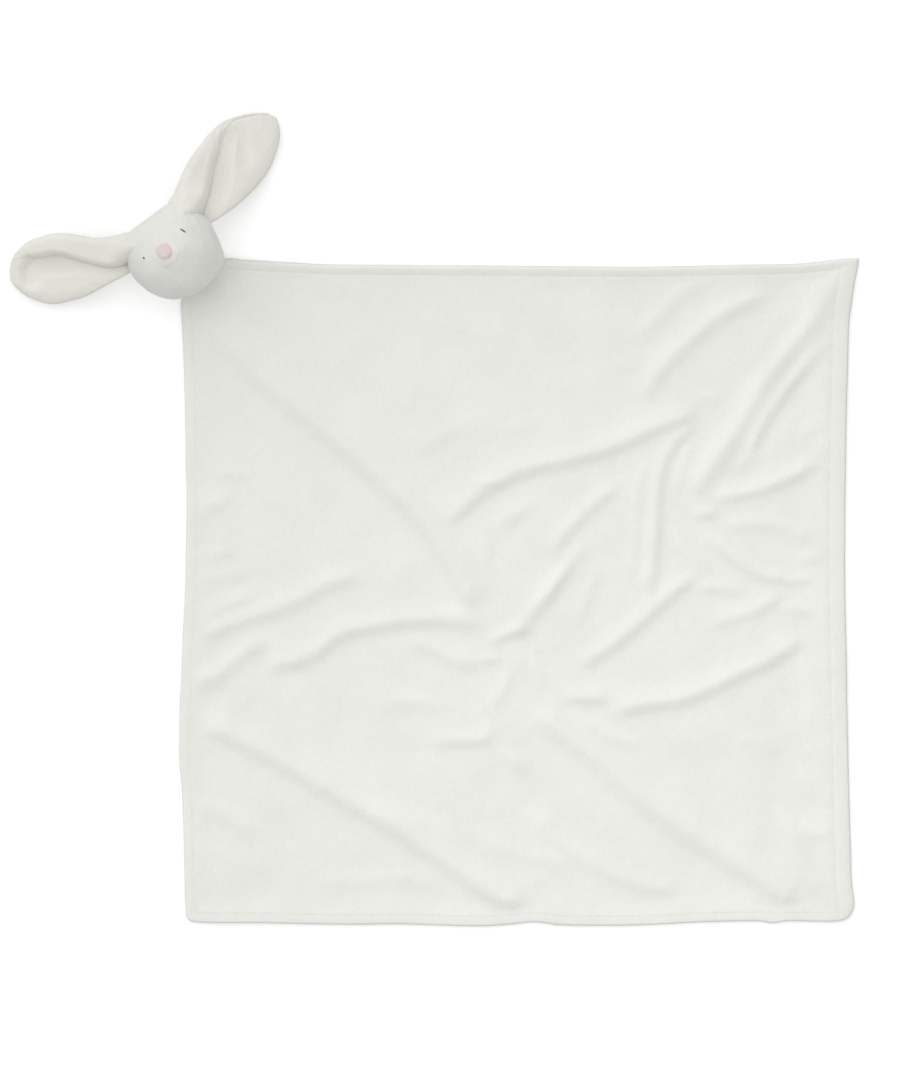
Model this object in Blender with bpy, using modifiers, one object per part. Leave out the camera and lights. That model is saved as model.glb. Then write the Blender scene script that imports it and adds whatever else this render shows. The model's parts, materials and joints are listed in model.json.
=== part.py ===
"""Rabbit comfort blanket: a square two-layer plush blanket with a stuffed rabbit head on one corner.

Metres, +Z up. The blanket lies face up on the plane z = 0, with the centre of its underside at the
origin and +Y towards the edge that carries the head on its left end. Left and right are as seen
from above, with the rabbit's face looking up at the viewer.
"""

import math

import bmesh
import bpy
from mathutils import Matrix, Vector

# Cloth, thread and clearances
fit_gap = 0.0003
panel_cloth = 0.0024
head_cloth = 0.0025
ear_outer_cloth = 0.0020
ear_lining_cloth = 0.0018
hem_cloth = 0.0018
hem_slack = 0.0003
stitch_radius = 0.00035
merge_distance = 0.00001

# Blanket outline: corner places, and how far each edge bows in, waves and ripples
top_left_corner = (-0.2806, 0.2780)
top_right_corner = (0.2873, 0.2806)
bottom_right_corner = (0.2831, -0.2764)
bottom_left_corner = (-0.2772, -0.2772)
corner_round = 0.0035
top_bow = 0.0046
top_bow_flat_share = 0.60
right_bow = 0.0100
right_bow_skew_share = 0.65
bottom_bow = -0.0020
bottom_ripple = 0.0010
bottom_ripple_waves = 3
left_bow = -0.0020
left_wave = 0.0040

# Blanket border, seams and grid
left_border = 0.0085
right_border = 0.0140
top_border = 0.0085
bottom_border = 0.0085
hem_outer_share = 0.12
hem_inner_share = 1.15
seam_thread_share = 0.05
hem_stop_share = 2.2
panel_cells = 23

# Folds of the laid front panel: height, half width, and the reach of the flat cloth round the neck
fold_height = 0.0080
fold_half_width = 0.0120
fold_fade = 0.0300

# Each fold: height and width as shares of the above, and its crest as shares of the blanket's size
main_fold_shares = (
    (1.0, 1.0, ((-0.07, 0.14), (-0.03, 0.17), (0.08, 0.21), (0.17, 0.24), (0.26, 0.28))),
    (0.8, 1.1, ((-0.45, -0.20), (-0.34, -0.26), (-0.20, -0.34), (-0.11, -0.41), (-0.03, -0.46))),
    (0.9, 1.1, ((0.02, -0.17), (0.12, -0.25), (0.23, -0.33), (0.33, -0.41), (0.42, -0.46))),
    (0.8, 1.0, ((-0.46, -0.13), (-0.36, -0.08), (-0.27, -0.05), (-0.13, -0.03), (-0.05, -0.05))),
    (0.6, 1.0, ((-0.46, -0.06), (-0.38, -0.01), (-0.29, 0.02), (-0.20, 0.03))),
    (0.9, 1.0, ((0.07, -0.14), (0.25, -0.14), (0.36, -0.10), (0.44, -0.05))),
    (0.8, 0.9, ((0.12, -0.09), (0.19, -0.04), (0.26, 0.03), (0.29, 0.05))),
    (0.9, 1.0, ((0.26, 0.14), (0.31, 0.24), (0.38, 0.35), (0.45, 0.43))),
    (0.7, 0.9, ((0.28, 0.16), (0.37, 0.18), (0.45, 0.22))),
    (0.8, 0.9, ((0.25, 0.10), (0.34, 0.05), (0.40, 0.03))),
    (0.8, 0.8, ((0.01, -0.05), (0.07, 0.03), (0.15, 0.15))),
    (-0.5, 1.2, ((-0.46, 0.41), (-0.34, 0.28), (-0.20, 0.16), (-0.11, 0.05), (-0.06, -0.03))),
)

# Neck: the blanket's gathered corner, a roll with a tongue that is sewn into a slot in the head
neck_corner_cut = 0.0270
neck_roll_radius = 0.0030
neck_roll_length = 0.0260
neck_tongue_width = 0.0220
neck_tongue_thickness = 0.0040
neck_tongue_depth = 0.0130
neck_tongue_round = 0.0012

# Head: half sizes of the stuffed ball, its distance from the neck and the way it faces
head_half_width = 0.0385
head_half_height = 0.0375
head_half_depth = 0.0365
head_back_from_neck = 0.0240
crown_azimuth = math.radians(126.0)
face_turn = math.radians(10.0)
face_lift = math.radians(8.5)

# Swellings and dents of the ball: how high, where, and how widely they spread
muzzle_rise = 0.0050
muzzle_turn = math.radians(-11.0)
muzzle_spread = math.radians(26.0)
cheek_rise = 0.0020
cheek_side = math.radians(38.0)
cheek_turn = math.radians(-27.0)
cheek_spread = math.radians(24.0)
chin_rise = 0.0015
chin_turn = math.radians(-49.0)
chin_spread = math.radians(18.0)
crown_dent = 0.0015
crown_turn = math.radians(90.0)
crown_spread = math.radians(35.0)
eye_dent = 0.0015
eye_dent_spread = math.radians(9.0)

# Head panels: where their seams run, and their grids
seam_middle = math.radians(26.0)
seam_swing = math.radians(5.0)
seam_swing_peak = math.radians(140.0)
chin_seam = math.radians(-38.0)
crown_seam = math.radians(95.0)
neck_seam = math.radians(207.0)
middle_panel_columns = 6
face_panel_rows = 12
hidden_panel_rows = 10
side_panel_cells = 10
filling_segments = 22
filling_rings = 12

# Eyes and their washers
eye_side = math.radians(31.6)
eye_lift = math.radians(10.5)
eye_radius = 0.0030
eye_dome_height = 0.0022
eye_seat = 0.0010
eye_shank_radius = 0.0009
eye_shank_end = 0.0012
washer_radius = 0.0042
washer_thickness = 0.0010

# Nose and mouth
nose_width = 0.0125
nose_height = 0.0110
nose_thickness = 0.0016
nose_taper_share = 0.25
nose_cells = 6
mouth_half_width = 0.0090
mouth_drop = 0.0115
mouth_lift = 0.0035
mouth_dip_share = 0.50
mouth_thread_radius = 0.00045
mouth_steps = 12

# Ears: length from the hinge, root, rolled rim and outline
ear_length = 0.0990
ear_root_height = 0.0300
ear_root_roll_radius = 0.0045
ear_root_roll_length = 0.0280
ear_root_outer_half = 0.0155
ear_root_crown_half = 0.0160
ear_rim_root_radius = 0.0028
ear_rim_radius = 0.0055
ear_rim_root_flap = 0.0180
ear_rim_flap = 0.0080
ear_rim_tip_flap = 0.0015
ear_rim_tip_bend = math.radians(15.0)
ear_flap_rise = 0.0040
ear_peak_share = 0.62
ear_tip_power = 2.3
ear_last_row_share = 0.985
ear_row_spacing_power = 2.0
ear_drape_share = 0.70
ear_rows = 12
ear_flap_columns = 6
ear_rim_columns = 5
ear_return_columns = 3

# Each ear: azimuth of its root on the head, azimuth it points to, crown and outer half widths
left_ear_root_azimuth = math.radians(179.0)
left_ear_azimuth = math.radians(187.7)
left_ear_crown_half = 0.0240
left_ear_outer_half = 0.0325
right_ear_root_azimuth = math.radians(69.4)
right_ear_azimuth = math.radians(50.3)
right_ear_crown_half = 0.0285
right_ear_outer_half = 0.0282

# Facets of turned pieces, and domes of the rolls
turned_steps = 16
dome_steps = 4
roll_dome_share = 0.5


# Scene and materials
def clear_scene():
    for old in list(bpy.data.objects):
        bpy.data.objects.remove(old, do_unlink=True)


def new_collection(name):
    collection = bpy.data.collections.new(name)
    bpy.context.scene.collection.children.link(collection)
    return collection


def new_material(name, color, roughness, metallic=0.0):
    material = bpy.data.materials.new(name)
    material.use_nodes = True
    shader = material.node_tree.nodes["Principled BSDF"]
    shader.inputs["Base Color"].default_value = (*color, 1.0)
    shader.inputs["Roughness"].default_value = roughness
    shader.inputs["Metallic"].default_value = metallic
    material.diffuse_color = (*color, 1.0)
    return material


clear_scene()
lovey = new_collection("rabbit_comfort_blanket")
cutters = new_collection("cutters")

plush = new_material("white_plush", (0.82, 0.81, 0.77), 0.95)
lining_plush = new_material("white_plush_lining", (0.83, 0.82, 0.79), 0.95)
fibre = new_material("polyester_fibre_fill", (0.88, 0.88, 0.86), 0.90)
white_thread = new_material("white_thread", (0.85, 0.84, 0.81), 0.70)
pink_thread = new_material("pink_thread", (0.80, 0.45, 0.45), 0.70)
eye_black = new_material("black_eye_plastic", (0.01, 0.01, 0.01), 0.15)
washer_white = new_material("washer_plastic", (0.80, 0.80, 0.78), 0.50)


# Small sums
def mix(first, second, share):
    return first + (second - first) * share


def smooth_step(share):
    share = min(1.0, max(0.0, share))
    return share * share * (3.0 - 2.0 * share)


def centred(index, count):
    """The place of a grid line from -1 to 1."""
    return 2.0 * index / count - 1.0


def flat_vector(azimuth):
    return Vector((math.cos(azimuth), math.sin(azimuth), 0.0))


def frame_at(origin, axis_x, axis_y, axis_z):
    rotation = Matrix((axis_x, axis_y, axis_z)).transposed().to_4x4()
    return Matrix.Translation(origin) @ rotation


# Mesh building
def object_from_bmesh(bm, name, material, matrix, collection):
    mesh = bpy.data.meshes.new(name)
    bm.to_mesh(mesh)
    bm.free()
    mesh.shade_smooth()
    obj = bpy.data.objects.new(name, mesh)
    if material is not None:
        mesh.materials.append(material)
    collection.objects.link(obj)
    obj.matrix_world = matrix
    return obj


def grid_surface(name, columns, rows, place, material, matrix=Matrix(), flip=False, lift=0.0):
    """An open grid whose places are given by place(column, row), moved along its normals by lift."""
    bm = bmesh.new()
    bmesh.ops.create_grid(bm, x_segments=columns, y_segments=rows, size=1.0)
    for vert in bm.verts:
        column = round((vert.co.x + 1.0) / 2.0 * columns)
        row = round((vert.co.y + 1.0) / 2.0 * rows)
        vert.co = place(column, row)
    if flip:
        bmesh.ops.reverse_faces(bm, faces=bm.faces)
    bm.normal_update()
    lifted = [vert.co + vert.normal * lift for vert in bm.verts]
    for vert, co in zip(bm.verts, lifted):
        vert.co = co
    return object_from_bmesh(bm, name, material, matrix, lovey)


def thicken(obj, thickness, offset):
    solidify = obj.modifiers.new("cloth_thickness", "SOLIDIFY")
    solidify.thickness = thickness
    solidify.offset = offset
    return obj


def turned(name, profile, material, matrix):
    """A solid turned about its own Z from (radius, height) points, top to bottom."""
    bm = bmesh.new()
    points = [bm.verts.new((radius, 0.0, height)) for radius, height in profile]
    for first, second in zip(points, points[1:]):
        bm.edges.new((first, second))
    obj = object_from_bmesh(bm, name, material, matrix, lovey)
    screw = obj.modifiers.new("turn", "SCREW")
    screw.steps = turned_steps
    screw.render_steps = turned_steps
    screw.use_merge_vertices = True
    screw.merge_threshold = merge_distance
    return obj


def dome(radius, height, base):
    """Profile points of a dome, from its top to its rim at base."""
    angles = [math.pi / 2.0 * step / dome_steps for step in range(dome_steps + 1)]
    return [(radius * math.sin(angle), base + height * math.cos(angle)) for angle in angles]


def rounded_rod(name, radius, length, matrix):
    """A plush roll with domed ends, lying along the matrix's Z."""
    height = radius * roll_dome_share
    upper = dome(radius, height, length / 2.0 - height)
    lower = [(across, -along) for across, along in reversed(upper)]
    return turned(name, upper + lower, plush, matrix)


def thread_along(name, points, radius, material, matrix=Matrix()):
    curve = bpy.data.curves.new(name, "CURVE")
    curve.dimensions = "3D"
    curve.bevel_depth = radius
    curve.bevel_resolution = 1
    curve.use_fill_caps = True
    spline = curve.splines.new("POLY")
    spline.points.add(len(points) - 1)
    for spline_point, point in zip(spline.points, points):
        spline_point.co = (*point, 1.0)
    curve.materials.append(material)
    obj = bpy.data.objects.new(name, curve)
    lovey.objects.link(obj)
    obj.matrix_world = matrix
    return obj


# Cutters
def as_cutter(bm, name, matrix):
    obj = object_from_bmesh(bm, name, None, matrix, cutters)
    obj.hide_render = True
    obj.display_type = "WIRE"
    return obj


def box_cutter(name, size, matrix):
    bm = bmesh.new()
    bmesh.ops.create_cube(bm, size=1.0, matrix=Matrix.Diagonal((*size, 1.0)))
    return as_cutter(bm, name, matrix)


def rod_cutter(name, radius, top, low, matrix):
    """A round cutter between two heights over the matrix's origin."""
    bm = bmesh.new()
    middle = Matrix.Translation((0.0, 0.0, (top + low) / 2.0))
    length = top - low
    sizes = {"radius1": radius, "radius2": radius, "depth": length}
    bmesh.ops.create_cone(bm, cap_ends=True, segments=turned_steps, matrix=middle, **sizes)
    return as_cutter(bm, name, matrix)


def cut(obj, cutter):
    boolean = obj.modifiers.new("cut_" + cutter.name, "BOOLEAN")
    boolean.operation = "DIFFERENCE"
    boolean.object = cutter
    return obj


# Blanket outline
blanket_width = top_right_corner[0] - top_left_corner[0]
blanket_height = top_left_corner[1] - bottom_left_corner[1]


def edge_point(start, end, share, bow, wave=0.0, ripple=0.0, skew=1.0, flat=1.0):
    """A point on a bowed edge; bow, wave and ripple are measured to the left of start to end."""
    along = Vector((end[0] - start[0], end[1] - start[1]))
    left = Vector((-along.y, along.x)).normalized()
    lift = bow * max(0.0, math.sin(math.pi * share ** skew)) ** flat
    lift += wave * math.sin(2.0 * math.pi * share)
    lift += ripple * math.sin(2.0 * math.pi * bottom_ripple_waves * share) * math.sin(math.pi * share)
    return Vector(start) + along * share + left * lift


def top_edge(across):
    return edge_point(top_left_corner, top_right_corner, across, -top_bow, flat=top_bow_flat_share)


def bottom_edge(across):
    return edge_point(bottom_left_corner, bottom_right_corner, across, bottom_bow, ripple=bottom_ripple)


def right_edge(up):
    return edge_point(top_right_corner, bottom_right_corner, 1.0 - up, -right_bow, skew=right_bow_skew_share)


def left_edge(up):
    return edge_point(top_left_corner, bottom_left_corner, 1.0 - up, left_bow, wave=left_wave)


def blanket_point(across, up):
    """A point of the laid blanket from its shares across (left to right) and up (bottom to top)."""
    between_rows = bottom_edge(across).lerp(top_edge(across), up)
    between_columns = left_edge(up).lerp(right_edge(up), across)
    low = Vector(bottom_left_corner).lerp(Vector(bottom_right_corner), across)
    high = Vector(top_left_corner).lerp(Vector(top_right_corner), across)
    point = between_rows + between_columns - low.lerp(high, up)
    at_corner = across in (0.0, 1.0) and up in (0.0, 1.0)
    if at_corner and (across, up) != (1.0, 1.0):
        point -= point.normalized() * corner_round
    return point


# Blanket border: rings of points between the edge (depth 0) and the stitch line (depth 1)
def ring_corner(index, depth):
    left = depth * left_border / blanket_width
    right = 1.0 - depth * right_border / blanket_width
    low = depth * bottom_border / blanket_height
    high = 1.0 - depth * top_border / blanket_height
    return Vector(((left, high), (left, low), (right, low), (right, high))[index % 4])


def ring_point(side, along, depth):
    """A point of a border ring; sides run left, bottom, right and top, anticlockwise."""
    shares = ring_corner(side, depth).lerp(ring_corner(side + 1, depth), along)
    return blanket_point(shares.x, shares.y)


ring_steps = [(side, step / panel_cells) for side in range(4) for step in range(panel_cells)]
hem_stop = hem_stop_share * neck_corner_cut / blanket_height


def border_run(depth, height):
    """Points along a border ring, from one side of the neck round the blanket to the other."""
    points = []
    for side, along in ring_steps:
        before_start = side == 0 and along < hem_stop
        past_end = side == 3 and along > 1.0 - hem_stop
        if not before_start and not past_end:
            points.append(ring_point(side, along, depth).to_3d() + Vector((0.0, 0.0, height)))
    return points


# Heights of the blanket's layers
back_top = panel_cloth
hem_base = back_top + fit_gap
front_over_hem = hem_base + hem_cloth + fit_gap + hem_slack
front_rest = back_top + fit_gap
seam_thread_height = back_top + fit_gap + stitch_radius
topstitch_height = front_over_hem + panel_cloth + fit_gap + stitch_radius

# Neck place: the cut across the blanket's corner, and the roll that lies along it
up_axis = Vector((0.0, 0.0, 1.0))
neck_inward = flat_vector(math.radians(-45.0))
neck_along = flat_vector(math.radians(45.0))
cut_line_middle = Vector(top_left_corner).to_3d() + neck_inward * (neck_corner_cut * math.sqrt(0.5))
neck_point = cut_line_middle + (up_axis - neck_inward) * (neck_roll_radius + fit_gap)

corner_cutter_size = (neck_corner_cut * 2.0, neck_corner_cut * 4.0, neck_corner_cut)
corner_cutter_middle = cut_line_middle - neck_inward * (corner_cutter_size[0] / 2.0)
corner_cutter = box_cutter(
    "blanket_corner_cutter",
    corner_cutter_size,
    frame_at(corner_cutter_middle, neck_inward, neck_along, up_axis),
)


# Blanket panels
def distance_to_path(point, path):
    nearest = None
    for start, end in zip(path, path[1:]):
        along = end - start
        share = max(0.0, min(1.0, (point - start).dot(along) / along.length_squared))
        distance = (point - start - along * share).length
        nearest = distance if nearest is None else min(nearest, distance)
    return nearest


def fold_relief(point):
    """Height of the laid cloth's folds above its flat rest, zero at the neck."""
    height = 0.0
    for height_share, width_share, crest_shares in main_fold_shares:
        crest = [Vector((x * blanket_width, y * blanket_height)) for x, y in crest_shares]
        spread = distance_to_path(point, crest) / (fold_half_width * width_share)
        height += fold_height * height_share * math.exp(-spread * spread)
    from_neck = (point - cut_line_middle.to_2d()).length
    return max(0.0, height) * smooth_step((from_neck - fold_fade) / (fold_fade * 2.0))


def grid_share(index, first, last):
    """Grid lines at both edges, on both stitch lines and evenly between these."""
    if index == 0:
        return 0.0
    if index == panel_cells:
        return 1.0
    return mix(first, last, (index - 1) / (panel_cells - 2))


def front_panel_place(column, row):
    across = grid_share(column, left_border / blanket_width, 1.0 - right_border / blanket_width)
    up = grid_share(row, bottom_border / blanket_height, 1.0 - top_border / blanket_height)
    point = blanket_point(across, up)
    over_hem = min(column, row, panel_cells - column, panel_cells - row) <= 1
    height = front_over_hem if over_hem else front_rest + fold_relief(point)
    return Vector((point.x, point.y, height))


def build_front_panel():
    panel = grid_surface("blanket_front_panel", panel_cells, panel_cells, front_panel_place, plush)
    thicken(panel, panel_cloth, 1.0)
    return cut(panel, corner_cutter)


def build_back_panel():
    bm = bmesh.new()
    border = [ring_point(side, along, 0.0) for side, along in ring_steps]
    bm.faces.new([bm.verts.new((point.x, point.y, back_top)) for point in border])
    panel = object_from_bmesh(bm, "blanket_back_panel", plush, Matrix(), lovey)
    thicken(panel, panel_cloth, -1.0)
    return cut(panel, corner_cutter)


def build_hem():
    """The turned-in seam allowance between the panels, all round the border."""
    bm = bmesh.new()
    outer = [bm.verts.new(point) for point in border_run(hem_outer_share, hem_base)]
    inner = [bm.verts.new(point) for point in border_run(hem_inner_share, hem_base)]
    for step in range(len(outer) - 1):
        bm.faces.new((outer[step], outer[step + 1], inner[step + 1], inner[step]))
    hem = object_from_bmesh(bm, "blanket_turned_hem", plush, Matrix(), lovey)
    return thicken(hem, hem_cloth, 1.0)


build_front_panel()
build_back_panel()
build_hem()
edge_run = border_run(seam_thread_share, seam_thread_height)
thread_along("blanket_edge_seam_thread", edge_run, stitch_radius, white_thread)
thread_along("blanket_topstitch_thread", border_run(1.0, topstitch_height), stitch_radius, white_thread)

# Head frame: x to the viewer's right of the face, y to the crown, z out of the nose
up_flat = flat_vector(crown_azimuth)
across_flat = up_flat.cross(up_axis)
nose_axis = (up_axis - across_flat * math.tan(face_turn) + up_flat * math.tan(face_lift)).normalized()
crown_axis = (up_flat - nose_axis * up_flat.dot(nose_axis)).normalized()
side_axis = crown_axis.cross(nose_axis)
head_centre = neck_point - neck_inward * head_back_from_neck
head_centre.z = head_half_depth + fit_gap
head_frame = frame_at(head_centre, side_axis, crown_axis, nose_axis)


def direction(side, turn):
    """Unit vector in the head's frame: side is the angle off the middle, turn runs nose to crown."""
    return Vector((math.sin(side), math.cos(side) * math.sin(turn), math.cos(side) * math.cos(turn)))


eye_directions = {"left": direction(-eye_side, eye_lift), "right": direction(eye_side, eye_lift)}
head_bumps = (
    (direction(0.0, muzzle_turn), muzzle_spread, muzzle_rise),
    (direction(-cheek_side, cheek_turn), cheek_spread, cheek_rise),
    (direction(cheek_side, cheek_turn), cheek_spread, cheek_rise),
    (direction(0.0, chin_turn), chin_spread, chin_rise),
    (direction(0.0, crown_turn), crown_spread, -crown_dent),
    (eye_directions["left"], eye_dent_spread, -eye_dent),
    (eye_directions["right"], eye_dent_spread, -eye_dent),
)


def head_point(unit, lift=0.0):
    """A point over the head's surface, in the head's frame, in the direction of a unit vector."""
    scaled = Vector((unit.x / head_half_width, unit.y / head_half_height, unit.z / head_half_depth))
    radius = 1.0 / scaled.length + lift
    for middle, spread, rise in head_bumps:
        radius += rise * math.exp(-(unit.angle(middle) / spread) ** 2)
    return unit * radius


def seam_side(turn):
    """How far off the middle the long seams run."""
    return seam_middle + seam_swing * math.cos(turn - seam_swing_peak)


# Head panels: three middle ones and two sides, each seam with its gap
half_seam = fit_gap / head_half_width


def middle_panel(name, low, high, rows):
    def place(column, row):
        turn = mix(low + half_seam, high - half_seam, row / rows)
        side = centred(column, middle_panel_columns) * (seam_side(turn) - half_seam)
        return head_point(direction(side, turn))

    panel = grid_surface(name, middle_panel_columns, rows, place, plush, head_frame)
    return thicken(panel, head_cloth, -1.0)


def square_to_disc(flat_x, flat_y):
    """Spread and turn of a point of a square carried to a disc, for a pole without a fan of faces."""
    if flat_x == 0.0 and flat_y == 0.0:
        return 0.0, 0.0
    if abs(flat_x) > abs(flat_y):
        return abs(flat_x), (flat_y / flat_x) * math.pi / 4.0 + (0.0 if flat_x > 0.0 else math.pi)
    return abs(flat_y), math.pi / 2.0 - (flat_x / flat_y) * math.pi / 4.0 + (0.0 if flat_y > 0.0 else math.pi)


def side_panel(name, sign):
    def place(column, row):
        spread, turn = square_to_disc(centred(column, side_panel_cells), centred(row, side_panel_cells))
        from_pole = spread * (math.pi / 2.0 - seam_side(turn) - half_seam)
        return head_point(direction(sign * (math.pi / 2.0 - from_pole), turn))

    panel = grid_surface(name, side_panel_cells, side_panel_cells, place, plush, head_frame, flip=sign > 0.0)
    return thicken(panel, head_cloth, -1.0)


def build_filling():
    bm = bmesh.new()
    bmesh.ops.create_uvsphere(bm, u_segments=filling_segments, v_segments=filling_rings, radius=1.0)
    for vert in bm.verts:
        vert.co = head_point(vert.co.normalized(), -head_cloth - 2.0 * fit_gap)
    return object_from_bmesh(bm, "head_fibre_filling", fibre, head_frame, lovey)


middle_panel("head_face_panel", chin_seam, crown_seam, face_panel_rows)
back_panel = middle_panel("head_back_panel", crown_seam, neck_seam, hidden_panel_rows)
chin_panel = middle_panel("head_chin_panel", neck_seam, chin_seam + 2.0 * math.pi, hidden_panel_rows)
side_panels = {
    "left": side_panel("head_left_side_panel", -1.0),
    "right": side_panel("head_right_side_panel", 1.0),
}
filling = build_filling()


# Neck: the roll along the cut corner, and the tongue that enters the head's slot
def build_neck():
    tongue_axis = (head_centre - neck_point).normalized()
    tongue_side = neck_along.cross(tongue_axis)
    roll_frame = frame_at(neck_point, tongue_side, tongue_axis, neck_along)
    tongue_frame = frame_at(neck_point, neck_along, -tongue_side, tongue_axis)
    roll = rounded_rod("neck_gather", neck_roll_radius, neck_roll_length, roll_frame)

    tongue_size = (neck_tongue_width, neck_tongue_thickness, neck_tongue_depth)
    tongue_middle = Matrix.Translation((0.0, 0.0, neck_tongue_depth / 2.0))
    tongue = box_cutter("neck_tongue", tongue_size, tongue_frame @ tongue_middle)
    bevel = tongue.modifiers.new("soft_edges", "BEVEL")
    bevel.width = min(neck_tongue_round, neck_tongue_thickness / 3.0)
    bevel.segments = 2
    union = roll.modifiers.new("tongue", "BOOLEAN")
    union.operation = "UNION"
    union.object = tongue

    slot_depth = (neck_tongue_depth + fit_gap) * 2.0
    slot_size = (neck_tongue_width + 2.0 * fit_gap, neck_tongue_thickness + 2.0 * fit_gap, slot_depth)
    slot = box_cutter("neck_slot", slot_size, tongue_frame)
    for neighbour in (back_panel, chin_panel, filling):
        cut(neighbour, slot)


build_neck()


# Eyes with shanks through the side panels, and their washers inside
def surface_frame(unit):
    """A frame on the head's surface in a direction, with z square to the surface."""
    aside = Vector((0.0, 1.0, 0.0)).cross(unit).normalized()
    above = unit.cross(aside)
    reach = half_seam * 4.0
    axis_x = head_point((unit + aside * reach).normalized()) - head_point((unit - aside * reach).normalized())
    axis_y = head_point((unit + above * reach).normalized()) - head_point((unit - above * reach).normalized())
    axis_x.normalize()
    axis_z = axis_x.cross(axis_y).normalized()
    return head_frame @ frame_at(head_point(unit), axis_x, axis_z.cross(axis_x), axis_z)


def build_eye(side_name):
    frame = surface_frame(eye_directions[side_name])
    washer_top = -head_cloth - fit_gap
    washer_low = washer_top - washer_thickness
    shank_low = washer_low - eye_shank_end
    profile = dome(eye_radius, eye_dome_height, eye_seat)
    profile += [(eye_shank_radius, eye_seat), (eye_shank_radius, shank_low), (0.0, shank_low)]
    turned("eye_" + side_name, profile, eye_black, frame)

    bore = eye_shank_radius + fit_gap
    outer_rim = [(washer_radius, washer_top), (washer_radius, washer_low)]
    washer_profile = [(bore, washer_top), *outer_rim, (bore, washer_low), (bore, washer_top)]
    turned("eye_washer_" + side_name, washer_profile, washer_white, frame)

    hole = rod_cutter("eye_hole_" + side_name, bore, head_cloth * 2.0, -head_cloth * 2.0, frame)
    cut(side_panels[side_name], hole)
    pocket_radius = washer_radius + fit_gap
    pocket = rod_cutter("washer_pocket_" + side_name, pocket_radius, head_cloth, shank_low - fit_gap, frame)
    cut(filling, pocket)


for side_name in ("left", "right"):
    build_eye(side_name)


# Nose and mouth, embroidered over the face panel
def face_point(x, y, lift):
    """A point over the face, x to the viewer's right of the nose and y to the crown."""
    unit = Vector((x, y, head_half_depth + muzzle_rise)).normalized()
    return head_point(unit, lift)


def nose_place(column, row):
    flat_x, flat_y = centred(column, nose_cells), centred(row, nose_cells)
    round_x = flat_x * math.sqrt(1.0 - flat_y * flat_y / 2.0)
    round_y = flat_y * math.sqrt(1.0 - flat_x * flat_x / 2.0)
    taper = 1.0 - nose_taper_share * (1.0 - row / nose_cells)
    return face_point(round_x * nose_width / 2.0 * taper, round_y * nose_height / 2.0, 2.0 * fit_gap)


def mouth_point(step):
    share = centred(step, mouth_steps)
    dip = mouth_dip_share * abs(math.sin(share * math.pi))
    height = mouth_lift * (share * share - dip) - mouth_drop
    return face_point(share * mouth_half_width, height, 2.0 * fit_gap + mouth_thread_radius)


nose = grid_surface("nose", nose_cells, nose_cells, nose_place, pink_thread, head_frame)
thicken(nose, nose_thickness, 1.0)
mouth_points = [mouth_point(step) for step in range(mouth_steps + 1)]
thread_along("mouth_thread", mouth_points, mouth_thread_radius, pink_thread, head_frame)


# Ears: two layers of plush with a rolled rim, gathered into a root roll on the head's seam
def seated_reach(out, hinge):
    """How far out from the head's centre an ear's root roll lies when it just clears the head."""
    base = Vector((head_centre.x, head_centre.y, ear_root_height))
    steps = filling_segments
    surface = [
        head_frame @ head_point(direction(math.pi * (side / steps - 1.0 / 2.0), math.pi * turn / steps))
        for side in range(1, steps)
        for turn in range(2 * steps)
    ]
    near, far = head_half_width / 2.0, head_half_width * 2.0
    while far - near > merge_distance:
        middle = base + out * (near + far) / 2.0
        clear = True
        for point in surface:
            along = (point - middle).dot(hinge)
            along = max(-ear_root_roll_length / 2.0, min(ear_root_roll_length / 2.0, along))
            clear = clear and (point - middle - hinge * along).length > ear_root_roll_radius + fit_gap
        if clear:
            far = (near + far) / 2.0
        else:
            near = (near + far) / 2.0
    return far


def ear_tip_round(share):
    """How far an ear has closed to its round tip: 1 up to its widest place, 0 at the tip."""
    past = max(0.0, (share - ear_peak_share) / (1.0 - ear_peak_share))
    return math.sqrt(1.0 - past ** ear_tip_power)


def ear_half_width(share, root_half, peak_half):
    """Half width of an ear at a share of its length: it widens to the peak, then rounds off."""
    return mix(root_half, peak_half, smooth_step(share / ear_peak_share)) * ear_tip_round(share)


def ear_section(share, column, crown_half, outer_half):
    """Place across an ear and height over its valley, for one column of its grid."""
    outer = ear_half_width(share, ear_root_outer_half, outer_half)
    crown = ear_half_width(share, ear_root_crown_half, crown_half)
    opening = smooth_step(share / ear_peak_share)
    closing = smooth_step((share - ear_peak_share) / (1.0 - ear_peak_share))
    radius = min(mix(ear_rim_root_radius, ear_rim_radius, opening), max(ear_rim_root_radius, crown / 2.0))
    bend = mix(math.pi, ear_rim_tip_bend, closing)
    returning = mix(mix(ear_rim_root_flap, ear_rim_flap, opening), ear_rim_tip_flap, closing)
    rim_start = crown - radius

    if column <= ear_flap_columns:
        along = column / ear_flap_columns
        valley = ear_flap_rise * opening * math.sin(math.pi * along) ** 2
        return mix(-outer, rim_start, along), valley
    turn = bend * min(1.0, (column - ear_flap_columns) / ear_rim_columns)
    past_rim = max(0.0, (column - ear_flap_columns - ear_rim_columns) / ear_return_columns)
    sideways = rim_start + radius * math.sin(turn) + math.cos(bend) * returning * past_rim
    height = radius * (1.0 - math.cos(turn)) + math.sin(bend) * returning * past_rim
    return sideways, height * ear_tip_round(share)


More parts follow.
